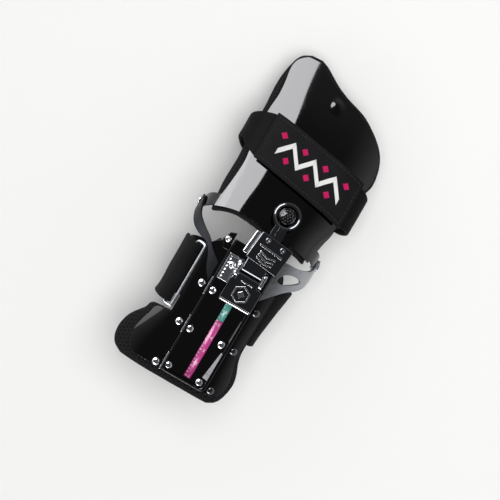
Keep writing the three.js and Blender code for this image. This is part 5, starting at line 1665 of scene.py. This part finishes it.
# %% Build the tab
TAB_FROM, TAB_TO = -0.62, 0.9
TAB_OFF = PALM_TOP_OFF + PALM_STRAP + 2 * GAP
TAB_HALF = PALM_STRAP_WIDTH / 2 + CLOTH_FIT
TAB_ROWS = 90
TAB_COLUMNS = 44
SEAM = 2.4  # the stitches lie this far inside the edge
PUFF = 0.35
PUFF_WIDE = 3.0
GROOVE = 0.25
GROOVE_WIDE = 0.8


def tab_point(x, t, off):
    """A place on the tab: x across the hand, t along it from its middle, off above its underside."""
    ahead = PALM_AHEAD + PALM_SLANT * x + t
    return hand_point(ahead, hand_reach(ahead, x, TAB_OFF), TAB_OFF + off)


def tab_surface(fi, fj, side):
    """Both faces of the tab: a flat underside, and a top with a groove and a puff inside it."""
    x = mix(TAB_FROM, TAB_TO, fi) * HAND_HALF
    t = (fj - 0.5) * 2 * TAB_HALF
    ends_in = np.minimum(x - TAB_FROM * HAND_HALF, TAB_TO * HAND_HALF - x)
    past_seam = np.minimum(TAB_HALF - np.abs(t), ends_in) - SEAM
    lift = PUFF * smooth(past_seam / PUFF_WIDE) - GROOVE * np.exp(-((past_seam / GROOVE_WIDE) ** 2))
    return tab_point(x, t, TAB - PUFF + lift if side else 0.0)


def tab_cut(fi, fj):
    """The tab's flat place."""
    return stack(mix(TAB_FROM, TAB_TO, fi) * HAND_HALF, fj * 2 * TAB_HALF)


tab_part = sheet(TAB_ROWS, TAB_COLUMNS, tab_surface, tab_cut)
strap_tab = piece("strap_tab_cloth", tab_part, tab_cloth, "hand", ["strap_tab"], edge=0.5)


def cloth_area(surface, rows, columns):
    """The area of a sheet halfway through its thickness, in square millimetres."""
    fi, fj = np.meshgrid(np.linspace(0, 1, rows + 1), np.linspace(0, 1, columns + 1), indexing="ij")
    middle = (surface(fi, fj, 0) + surface(fi, fj, 1)) / 2
    one = middle[1:, 1:] - middle[:-1, :-1]
    other = middle[1:, :-1] - middle[:-1, 1:]
    return float(np.linalg.norm(np.cross(one, other), axis=-1).sum() / 2)


tab_area = cloth_area(tab_surface, TAB_ROWS, TAB_COLUMNS)
print("the tab takes", round(tab_area), "square millimetres of cloth")

# %% [markdown]
# ## The stitches
# A lockstitch shows as short threads, each going in and coming out of the cloth. A dashed line in the
# colour would lie flat, and in close view it shows. So each stitch is a short wire that rises a little
# in its middle, set round the tab by its distance along the seam.

# %% Build the stitches
STITCH_LONG = 2.1
STITCH_STEP = 3.0
STITCH_RADIUS = 0.28


def stitches(place, length):
    """A row of stitches along a line that place(distance) gives."""
    made = []
    for k in range(int(length / STITCH_STEP)):
        start = k * STITCH_STEP + 0.4
        path = [place(start + STITCH_LONG * t, 0.16 * math.sin(math.pi * t)) for t in np.linspace(0, 1, 5)]
        made.append(wire(path, STITCH_RADIUS, sides=6))
    return made


def tab_border(distance, lift):
    """Round the tab along its seam."""
    x0, x1 = TAB_FROM * HAND_HALF + SEAM, TAB_TO * HAND_HALF - SEAM
    t1 = TAB_HALF - SEAM
    long_side, short_side = x1 - x0, 2 * t1
    d = distance % (2 * (long_side + short_side))
    if d < long_side:
        x, t = x0 + d, -t1
    elif d < long_side + short_side:
        x, t = x1, -t1 + d - long_side
    elif d < 2 * long_side + short_side:
        x, t = x1 - (d - long_side - short_side), t1
    else:
        x, t = x0, t1 - (d - 2 * long_side - short_side)
    return tab_point(x, t, TAB - 0.5 + lift)


border_length = 2 * ((TAB_TO - TAB_FROM) * HAND_HALF - 2 * SEAM) + 2 * (2 * TAB_HALF - 2 * SEAM)
tab_stitches = piece("tab_stitches", joined(*stitches(tab_border, border_length)), thread, "hand")
print("stitches:", int(border_length / STITCH_STEP))

# %% [markdown]
# ## The print
# The tab is worked with dense thread: a white zigzag between pink diamonds. A decal would lie as flat
# as paint. Each patch is a thin sheet laid on the cloth's curve, so that it stands up by a thread.

# %% Build the print


def print_patch(corners, height=0.14, steps=8):
    """A printed patch on the tab: a four-sided outline, laid on the cloth's curve."""
    a, b, c, d = (np.array(p, float) for p in corners)

    def surface(fi, fj, side):
        flat = (
            a * ((1 - fi) * (1 - fj))[..., None] + b * (fi * (1 - fj))[..., None]
            + c * (fi * fj)[..., None] + d * ((1 - fi) * fj)[..., None]
        )
        return tab_point(flat[..., 0], flat[..., 1], TAB + (height if side else -0.05))

    def cut(fi, fj):
        return stack(mix(a[0], b[0], fi), mix(a[1], d[1], fj))

    return sheet(steps, steps, surface, cut)


PRINT_MIDDLE = 7.0
BENDS = 6
BEND_STEP = 8.6
BEND_HALF = 5.4
STROKE_HALF = 2.3
DIAMOND = 2.7

white_parts = []
pink_parts = []
for k in range(BENDS + 1):
    x0 = PRINT_MIDDLE + (k - BENDS / 2) * BEND_STEP
    t0 = BEND_HALF if k % 2 else -BEND_HALF
    across = -1.25 * t0
    pink_parts.append(print_patch(
        [(x0 - DIAMOND, across), (x0, across - DIAMOND), (x0 + DIAMOND, across), (x0, across + DIAMOND)]
    ))
    if k < BENDS:
        x1, t1 = x0 + BEND_STEP, -t0
        white_parts.append(print_patch(
            [(x0, t0 - STROKE_HALF), (x1, t1 - STROKE_HALF), (x1, t1 + STROKE_HALF), (x0, t0 + STROKE_HALF)]
        ))
tab_white = piece("tab_print_white", joined(*white_parts), white_print, "hand")
tab_pink = piece("tab_print_pink", joined(*pink_parts), pink_print, "hand")
print(len(white_parts), "white strokes and", len(pink_parts), "pink diamonds")

# %% [markdown]
# ## The slide
# A carriage runs in the rail. It carries two pins between its ears: one for the link, one for the
# lock lever, whose broad face lies over the block. Beside it is an index plate with saw teeth. All
# of it is cast, ground and plated, so faces are flat, edges are a little round, and relief stands
# up by half a millimetre. The badge places on both blocks are finished with plain relief.

# %% Build the carriage
BLOCK_WIDTH = 22
BLOCK_LENGTH = 22
BLOCK_HEIGHT = 7.2
BLOCK_LEFT = 8.2 - BLOCK_WIDTH / 2
SLOT_LEFT = RAIL_LEFT + WALL_LEFT
BLOCK_RIGHT = RAIL_RIGHT - WALL_RIGHT - SLIDE_FIT
_, LINK_PIN_Y, LINK_PIN_Z = np.array(joints["link_tilt"]["pos_m"]) / MM
_, LEVER_PIN_Y, LEVER_PIN_Z = np.array(joints["lever_lift"]["pos_m"]) / MM
CARRIAGE_Z = RAIL_FLOOR_Z + GAP
BLOCK_TOP = CARRIAGE_Z + BLOCK_HEIGHT
PIN_SEAT = 3.4
BLOCK_FRONT = LINK_PIN_Y - PIN_SEAT
BLOCK_REAR = BLOCK_FRONT - BLOCK_LENGTH + 1
WING_REAR = BLOCK_FRONT - 12
BASE_HEIGHT = 2.4
EAR_SHEET = 2
EAR_ROUND = 2.9
EAR_TIGHT = 2.2
KNUCKLE = 2.3
PIN_PROUD = 0.8
TO_X = Matrix(((0, 0, 1, 0), (1, 0, 0, 0), (0, 1, 0, 0), (0, 0, 0, 1)))


def across_plate(outlines, x0, x1):
    """A plate that stands across the part: its outline is along y and up z."""
    return cut_plate(outlines, x0, x1, TO_X)


def pin_ear(x0):
    """An ear that holds both pins: full round at the link's pin, tighter at the lever's."""
    r = EAR_ROUND
    line = [(LEVER_PIN_Y - r, CARRIAGE_Z), (LINK_PIN_Y + r, CARRIAGE_Z)]
    line += arc(LINK_PIN_Y, LINK_PIN_Z, r, 0, 90)
    line += arc(LEVER_PIN_Y, LEVER_PIN_Z, EAR_TIGHT, 90, 180)
    return across_plate([line], x0, x0 + EAR_SHEET)


base_line = [
    (BLOCK_LEFT, BLOCK_REAR), (BLOCK_RIGHT, BLOCK_REAR), (BLOCK_RIGHT, LINK_PIN_Y + PIN_SEAT),
    (SLOT_LEFT + SLIDE_FIT, LINK_PIN_Y + PIN_SEAT), (SLOT_LEFT + SLIDE_FIT, WING_REAR),
    (BLOCK_LEFT, WING_REAR),
]
block_face = LEVER_PIN_Y - KNUCKLE - SLIDE_FIT
block_line = box_outline(BLOCK_LEFT + WELD, BLOCK_REAR + WELD, BLOCK_RIGHT - WELD, block_face)
carriage_part = joined(
    cut_plate([base_line], CARRIAGE_Z, CARRIAGE_Z + BASE_HEIGHT),
    cut_plate([block_line], CARRIAGE_Z + WELD, BLOCK_TOP),
    pin_ear(BLOCK_LEFT), pin_ear(BLOCK_RIGHT - EAR_SHEET),
)
piece("carriage_block", carriage_part, chrome, "carriage", ["carriage"], edge=0.35)
print("block", BLOCK_WIDTH, "by", BLOCK_LENGTH, "mm")

# %% [markdown]
# ## The pins
# Two turned pins go across the carriage between its ears. The thicker one carries the link and the
# thinner one the lever. Each is one profile turned about its joint's axis, with its ends chamfered.

# %% Build the pins
CHAMFER = 0.3


def pin(radius, y, z):
    """A pin across the carriage, through the given place."""
    x0, x1 = BLOCK_LEFT - PIN_PROUD, BLOCK_RIGHT + SLIDE_FIT - GAP
    narrow = radius - CHAMFER
    profile = [(0, x0), (narrow, x0), (radius, x0 + CHAMFER), (radius, x1 - CHAMFER), (narrow, x1), (0, x1)]
    return turned(profile, 24, Matrix.Translation((0, y, z)) @ Matrix.Rotation(QUARTER, 4, "Y"))


link_pin = pin(1.5, LINK_PIN_Y, LINK_PIN_Z)
lever_pin = pin(1.1, LEVER_PIN_Y, LEVER_PIN_Z)
piece("link_pin_turned", link_pin, chrome, "carriage", ["link_pin"])
piece("lever_pin_turned", lever_pin, chrome, "carriage", ["lever_pin"])
print("pins at y", round(float(LINK_PIN_Y), 1), "and", round(float(LEVER_PIN_Y), 1))

# %% [markdown]
# ## The index plate
# A plate with saw teeth lies beside the block under a socket screw. Such teeth are milled. They
# could be an array of one tooth, but a loop that adds two points for each draws the same outline.

# %% Build the index plate
INDEX_LOW = CARRIAGE_Z + BASE_HEIGHT + GAP
INDEX_TOP = INDEX_LOW + 3.2
INDEX_RIGHT = BLOCK_LEFT - PIN_PROUD - GAP
INDEX_FRONT = LINK_PIN_Y + PIN_SEAT - SLIDE_FIT
INDEX_REAR = WING_REAR + SLIDE_FIT
TOOTH_LEFT = SLOT_LEFT + 4 * SLIDE_FIT
TEETH = 7
toothed = [(INDEX_RIGHT, INDEX_FRONT), (INDEX_RIGHT, INDEX_REAR)]
for k in range(TEETH):
    toothed.append((TOOTH_LEFT + 1, mix(INDEX_REAR, INDEX_FRONT, k / TEETH)))
    toothed.append((TOOTH_LEFT, mix(INDEX_REAR, INDEX_FRONT, (k + 0.7) / TEETH)))
index_part = cut_plate([toothed], INDEX_LOW, INDEX_TOP)
piece("index_plate_cut", index_part, chrome, "carriage", ["index_plate"], edge=0.4)


def socket_head(radius, height):
    """A round screw head with a socket in it."""
    return [
        (0, height * 0.3), (radius * 0.42, height * 0.3), (radius * 0.46, height * 0.9),
        (radius * 0.62, height),
        (radius * 0.9, height * 0.82), (radius, height * 0.5), (radius, 0), (0, 0),
    ]


screw_spot = Matrix.Translation(((TOOTH_LEFT + BLOCK_LEFT) / 2, INDEX_FRONT - 6, INDEX_TOP + GAP))
index_screw = turned(socket_head(2.4, 1.8), ROUND, screw_spot)
piece("index_screw_head", index_screw, chrome, "carriage", ["index_screw"])
print("teeth:", TEETH)

# %% [markdown]
# ## The lock lever
# The lever's broad face lies over the block and swings up on its pin. It looks like a
# single casting, ground flat, with a round lip at its free end. Here its face, its apron and its
# knuckle are plates run into each other, and the round lip is a wire along the edge.

# %% Build the lock lever
LEVER_LOW = BLOCK_TOP + GAP
LEVER_TOP = LEVER_LOW + 2.2
FACE_LEFT = BLOCK_LEFT - PIN_PROUD
FACE_RIGHT = FACE_LEFT + 1.055 * BLOCK_WIDTH
FACE_FRONT = LEVER_PIN_Y - EAR_ROUND - SLIDE_FIT
LIP = 1.8
APRON = 2  # how far it hangs behind the block
EAR_IN_LEFT = BLOCK_LEFT + EAR_SHEET + GAP
EAR_IN_RIGHT = BLOCK_RIGHT - EAR_SHEET - GAP
knuckle_line = [(FACE_FRONT - 1, LEVER_LOW + 0.05)] + arc(LEVER_PIN_Y, LEVER_PIN_Z, KNUCKLE, 195, 450, 26)
knuckle_line += [(LEVER_PIN_Y - KNUCKLE, LEVER_TOP - 0.05), (FACE_FRONT - 1, LEVER_TOP - 0.05)]
apron_line = box_outline(
    FACE_LEFT + WELD, BLOCK_REAR - LIP + WELD, FACE_RIGHT - WELD, BLOCK_REAR - SLIDE_FIT
)
lever_part = joined(
    cut_plate([box_outline(FACE_LEFT, BLOCK_REAR - LIP, FACE_RIGHT, FACE_FRONT, 1.0)], LEVER_LOW, LEVER_TOP),
    cut_plate([apron_line], LEVER_LOW - APRON, LEVER_TOP - 0.5),
    across_plate([knuckle_line], EAR_IN_LEFT, EAR_IN_RIGHT),
)
piece("lock_lever_face", lever_part, dark_chrome, "lever", ["lock_lever"], edge=0.5)
print("lever face", round(float(FACE_RIGHT - FACE_LEFT), 1), "mm wide")

# %% [markdown]
# ## The lever's relief
# Cast relief catches the light at its edges, which is what makes a badge legible on chrome. It stands
# half a millimetre high: a hexagon round a diamond, with a bar on each side, and the bead of the lip.

# %% Build the lever's relief
face_middle_x = (FACE_LEFT + FACE_RIGHT) / 2
face_middle_y = (BLOCK_REAR + FACE_FRONT) / 2
relief_low, relief_top = LEVER_TOP - WELD, LEVER_TOP + 0.5
badge = [polygon(face_middle_x, face_middle_y, radius, 6, 30) for radius in (6.4, 5.2)]
lever_relief = [
    cut_plate(badge, relief_low, relief_top),
    cut_plate([polygon(face_middle_x, face_middle_y, 2.7, 4)], relief_low, relief_top),
]
for side in (-1, 1):
    y = face_middle_y + side * 8.2
    bar = box_outline(face_middle_x - 4.5, y - 0.5, face_middle_x + 4.5, y + 0.5, 0.4)
    lever_relief.append(cut_plate([bar], relief_low, relief_top))
piece("lever_relief", joined(*lever_relief), chrome, "lever", edge=0.18)

LIP_RADIUS = 1.15
lip_y = BLOCK_REAR - LIP + LIP_RADIUS
lip_z = LEVER_TOP - LIP_RADIUS + 0.3
lip_path = [(x, lip_y, lip_z) for x in np.linspace(FACE_LEFT + 0.7, FACE_RIGHT - 0.7, 6)]
piece("lever_lip_bead", wire(lip_path, LIP_RADIUS), chrome, "lever", edge=0.2)
print("relief on the lever:", len(lever_relief), "parts")

# %% [markdown]
# ## The clamp block
# A clamp block hangs on the link pin and grips the arm, whose eye goes round a ball on the hand
# plate. The block and the arm slope down to the hand, so they are made flat in the link's own frame
# and then laid along the line from the pin to the ball.

# %% Build the clamp block
BALL_X = 9
BALL_AHEAD = 21.8
BALL_RISE = 6.5
BALL_RADIUS = 5.8
BALL_Z = CROWN + PLATE_TOP + BALL_RISE
BALL_Y = (BALL_AHEAD - BALL_Z * math.sin(CUP)) / math.cos(CUP)
ball_at = Vector(from_hand(BALL_X, BALL_Y, BALL_Z))
link_run = ball_at.y - LINK_PIN_Y
link_drop = ball_at.z - LINK_PIN_Z
LINK_LENGTH = math.hypot(link_run, link_drop)
link_slope = Matrix.Rotation(math.atan2(link_drop, link_run), 4, "X")
link_frame = Matrix.Translation((0, LINK_PIN_Y, LINK_PIN_Z)) @ link_slope
CLAMP_WIDTH = 24
CLAMP_LENGTH = 20
CLAMP_HEIGHT = 7.5
CLAMP_START = 5.4
CLAMP_LOW = -2.6
CLAMP_TOP = CLAMP_LOW + CLAMP_HEIGHT
CLAMP_ASIDE = 1.8  # how far its middle lies to the right of the arm's
clamp_middle = Matrix.Translation((BALL_X + CLAMP_ASIDE, CLAMP_START + CLAMP_LENGTH / 2, 0))
clamp_frame = link_frame @ clamp_middle @ Matrix.Rotation(math.radians(-6), 4, "Z")
SHANK = 9
ARM_HEIGHT = 4.6
LINK_KNUCKLE = 3.0
SLOT_FIT = 0.9
REAR_WALL = 4.6


def clamp_part():
    """A block over the arm, a cheek on each side of it, a rear wall and a tongue to the pin."""
    half_x, half_y = CLAMP_WIDTH / 2, CLAMP_LENGTH / 2
    ceiling = ARM_HEIGHT / 2 + GAP
    block_outline = box_outline(-half_x, -half_y, half_x, half_y, 1.0)
    block = cut_plate([block_outline], ceiling, CLAMP_TOP, clamp_frame)
    slot = SHANK / 2 + GAP + SLOT_FIT
    cheeks = []
    for x0, x1 in ((-half_x + WELD, -CLAMP_ASIDE - slot), (-CLAMP_ASIDE + slot, half_x - WELD)):
        cheek = box_outline(x0, -half_y + WELD, x1, half_y - WELD)
        cheeks.append(cut_plate([cheek], CLAMP_LOW, ceiling + 2 * WELD, clamp_frame))
    wall = box_outline(-half_x + 2 * WELD, -half_y + 2 * WELD, half_x - 2 * WELD, -half_y + REAR_WALL)
    rear = cut_plate([wall], CLAMP_LOW + WELD, ceiling + 3 * WELD, clamp_frame)
    line = [(CLAMP_START + 3, -LINK_KNUCKLE), (CLAMP_START + 3, LINK_KNUCKLE)]
    line += arc(0, 0, LINK_KNUCKLE, 90, 270, 20)
    tongue = cut_plate([line], EAR_IN_LEFT + GAP, EAR_IN_RIGHT - GAP, link_frame @ TO_X)
    return joined(block, *cheeks, rear, tongue)


piece("clamp_block_cast", clamp_part(), dark_chrome, "link", ["clamp_block"], edge=0.5)
print("the link is", round(LINK_LENGTH, 1), "mm from pin to ball")

# %% [markdown]
# ## What the clamp carries
# A plate stands along the clamp's left side, two screws hold the block down and a bar with three
# chevrons stands up from its top. All are small, and all break up one broad face. They follow the
# clamp's own frame, so that they stay with it whatever its slope.

# %% Build the clamp's plate, screws and relief
SIDE_PLATE = 3.2
side_x = -CLAMP_WIDTH / 2 - GAP
side_line = box_outline(side_x - SIDE_PLATE, -0.42 * CLAMP_LENGTH, side_x, 0.44 * CLAMP_LENGTH, 0.8)
side_part = cut_plate([side_line], CLAMP_LOW, CLAMP_LOW + 0.62 * CLAMP_HEIGHT, clamp_frame)
piece("clamp_side_plate_ground", side_part, chrome, "link", ["clamp_side_plate"], edge=0.4)

for k, share in enumerate((-0.24, 0.24)):
    spot = clamp_frame @ Matrix.Translation((share * CLAMP_WIDTH, 0.34 * CLAMP_LENGTH, CLAMP_TOP + GAP))
    head = turned(socket_head(1.9, 1.0), ROUND, spot)
    piece(f"clamp_screw_head_{k + 1}", head, dark_chrome, "link", [f"clamp_screw_{k + 1}"])

clamp_relief = [
    cut_plate([box_outline(-9.0, 1.0, 8.6, 2.5, 0.7)], CLAMP_TOP - 0.05, CLAMP_TOP + 0.7, clamp_frame),
]
for tip in (-2.2, -4.6, -7.0):
    chevron = [(-6, tip), (0, tip - 1.7), (6, tip), (6, tip + 1.15), (0, tip - 0.55), (-6, tip + 1.15)]
    clamp_relief.append(cut_plate([chevron], CLAMP_TOP - 0.05, CLAMP_TOP + 0.5, clamp_frame))
piece("clamp_relief", joined(*clamp_relief), chrome, "link", edge=0.12)
print("relief on the clamp:", len(clamp_relief), "parts")

# %% [markdown]
# ## The link's arm
# A forged arm runs from the clamp to the ball and ends in an eye round it. A boolean could cut the eye
# from a disc. The outline is drawn with the hole in it instead, and a low rib and a ring stand up from
# the top as forging leaves them.

# %% Build the link's arm
EYE_RADIUS = 9.5
EYE_CLEARANCE = 1.2
RIM_MIDDLE = 8.3
RIM_WIDE = 0.7
RIB_HALF = 1.1


def arm_part():
    """The arm's plate with its eye, the rib along it and the ring round the eye."""
    neck = 0.93 * (SHANK / 2)
    spread = math.degrees(math.asin(neck / EYE_RADIUS))
    root = CLAMP_START + 5 + GAP
    shoulder = CLAMP_START + 1.12 * CLAMP_LENGTH
    line = [(BALL_X - SHANK / 2, root), (BALL_X + SHANK / 2, root), (BALL_X + SHANK / 2, shoulder)]
    line += arc(BALL_X, LINK_LENGTH, EYE_RADIUS, -90 + spread, 270 - spread, 48)
    line += [(BALL_X - SHANK / 2, shoulder)]
    hole = polygon(BALL_X, LINK_LENGTH, BALL_RADIUS + EYE_CLEARANCE, 40)
    low, high = -ARM_HEIGHT / 2, ARM_HEIGHT / 2
    body = cut_plate([line, hole], low, high, link_frame)
    rib_end = LINK_LENGTH - EYE_RADIUS + 0.8
    rib_line = box_outline(BALL_X - RIB_HALF, shoulder - 1, BALL_X + RIB_HALF, rib_end, 1.0)
    rib = cut_plate([rib_line], high - WELD, high + 0.5, link_frame)
    rim_profile = [
        (RIM_MIDDLE, high - WELD), (RIM_MIDDLE + RIM_WIDE, high + 0.35), (RIM_MIDDLE, high + 0.6),
        (RIM_MIDDLE - RIM_WIDE, high + 0.3), (RIM_MIDDLE, high - WELD),
    ]
    rim = ring_of(rim_profile, 48, link_frame @ Matrix.Translation((BALL_X, LINK_LENGTH, 0)))
    return joined(body, rib, rim)


piece("link_arm_forged", arm_part(), dark_chrome, "link", ["link_arm"], edge=0.5)
print("eye", 2 * EYE_RADIUS, "mm across")

# %% [markdown]
# ## The ball stud
# The stud is turned from bar: a foot on the plate, a post, most of a ball and a flat face on top. Its
# face carries rings of small domes and a raised rim. They could be a texture, but a mirror finish
# shows at once that nothing is there, so each is a turned dome.

# %% Build the ball stud
stud_frame = Matrix.Translation(ball_at) @ Matrix.Rotation(-CUP, 4, "X")
foot = -BALL_RISE + GAP
post = 0.52 * BALL_RADIUS
FOOT_RADIUS = 5
stud_profile = [(0, foot), (FOOT_RADIUS, foot), (FOOT_RADIUS, foot + 1), (post, foot + 1.2)]
stud_profile.append((post, -math.sqrt(BALL_RADIUS**2 - post**2)))
for degrees in np.linspace(-56, 31, 16):
    a = math.radians(degrees)
    stud_profile.append((BALL_RADIUS * math.cos(a), BALL_RADIUS * math.sin(a)))
stud_top = 0.59 * BALL_RADIUS
DISC = 0.97 * BALL_RADIUS
stud_profile += [(DISC, stud_top - 0.6), (DISC, stud_top - 0.25), (DISC - 0.25, stud_top), (0, stud_top)]
stud_part = turned(stud_profile, 40, stud_frame)
piece("ball_stud_turned", stud_part, black_nickel, "hand", ["ball_stud"])
DOT = ((0, 0), (0.62, 0), (0.44, 0.26), (0, 0.4))
DOT_RINGS = ((1, 0.0), (6, 1.8), (12, 3.6))  # how many, and how far out
FACE_RIM = ((5.0, -0.03), (5.3, 0.2), (5.0, 0.35), (4.7, 0.2), (5.0, -0.03))
dots = []
for count, radius in DOT_RINGS:
    for k in range(count):
        a = 2 * math.pi * k / count
        spot = stud_frame @ Matrix.Translation((radius * math.cos(a), radius * math.sin(a), stud_top - 0.03))
        dots.append(turned(DOT, 10, spot))
dots.append(ring_of(FACE_RIM, 40, stud_frame @ Matrix.Translation((0, 0, stud_top))))
piece("ball_stud_relief", joined(*dots), black_nickel, "hand")
print("the stud's face has", len(dots) - 1, "domes and a rim")

# %% [markdown]
# ## The front tab
# A small tab with a screw stands out at the rail's front left, cut from the same sheet as the rail's
# floor. It is the simplest kind of part: an outline of five corners with a thickness.

# %% Build the front tab
TAB_REACH = 7
TAB_RIGHT = RAIL_LEFT - GAP
FRONT_TAB = ((0, 0.15), (0, 0.035), (0.64, 0.05), (1, 0.1), (0.57, 0.15))
tab_line = [(TAB_RIGHT - out * TAB_REACH, HINGE_Y - back * FOREARM_REACH) for out, back in FRONT_TAB]
front_tab = cut_plate([tab_line], RAIL_Z, RAIL_FLOOR_Z)
piece("front_tab_plate", front_tab, black_nickel, "forearm", ["front_tab"], edge=0.4)
screw_y = HINGE_Y - 0.09 * FOREARM_REACH
tab_screw_spot = Matrix.Translation((TAB_RIGHT - TAB_REACH / 2, screw_y, RAIL_FLOOR_Z + GAP))
tab_screw = turned(socket_head(2.2, 1.6), ROUND, tab_screw_spot)
piece("tab_screw_head", tab_screw, chrome, "forearm", ["tab_screw"])
print("front tab", TAB_REACH, "mm out from the rail")

# %% [markdown]
# ## What is left
# The straps are woven flat and cut to length. Last, the palm strap's area of cloth is worked out,
# halfway through its thickness.

palm_area = cloth_area(palm_surface, palm_rows, PALM_COLUMNS)
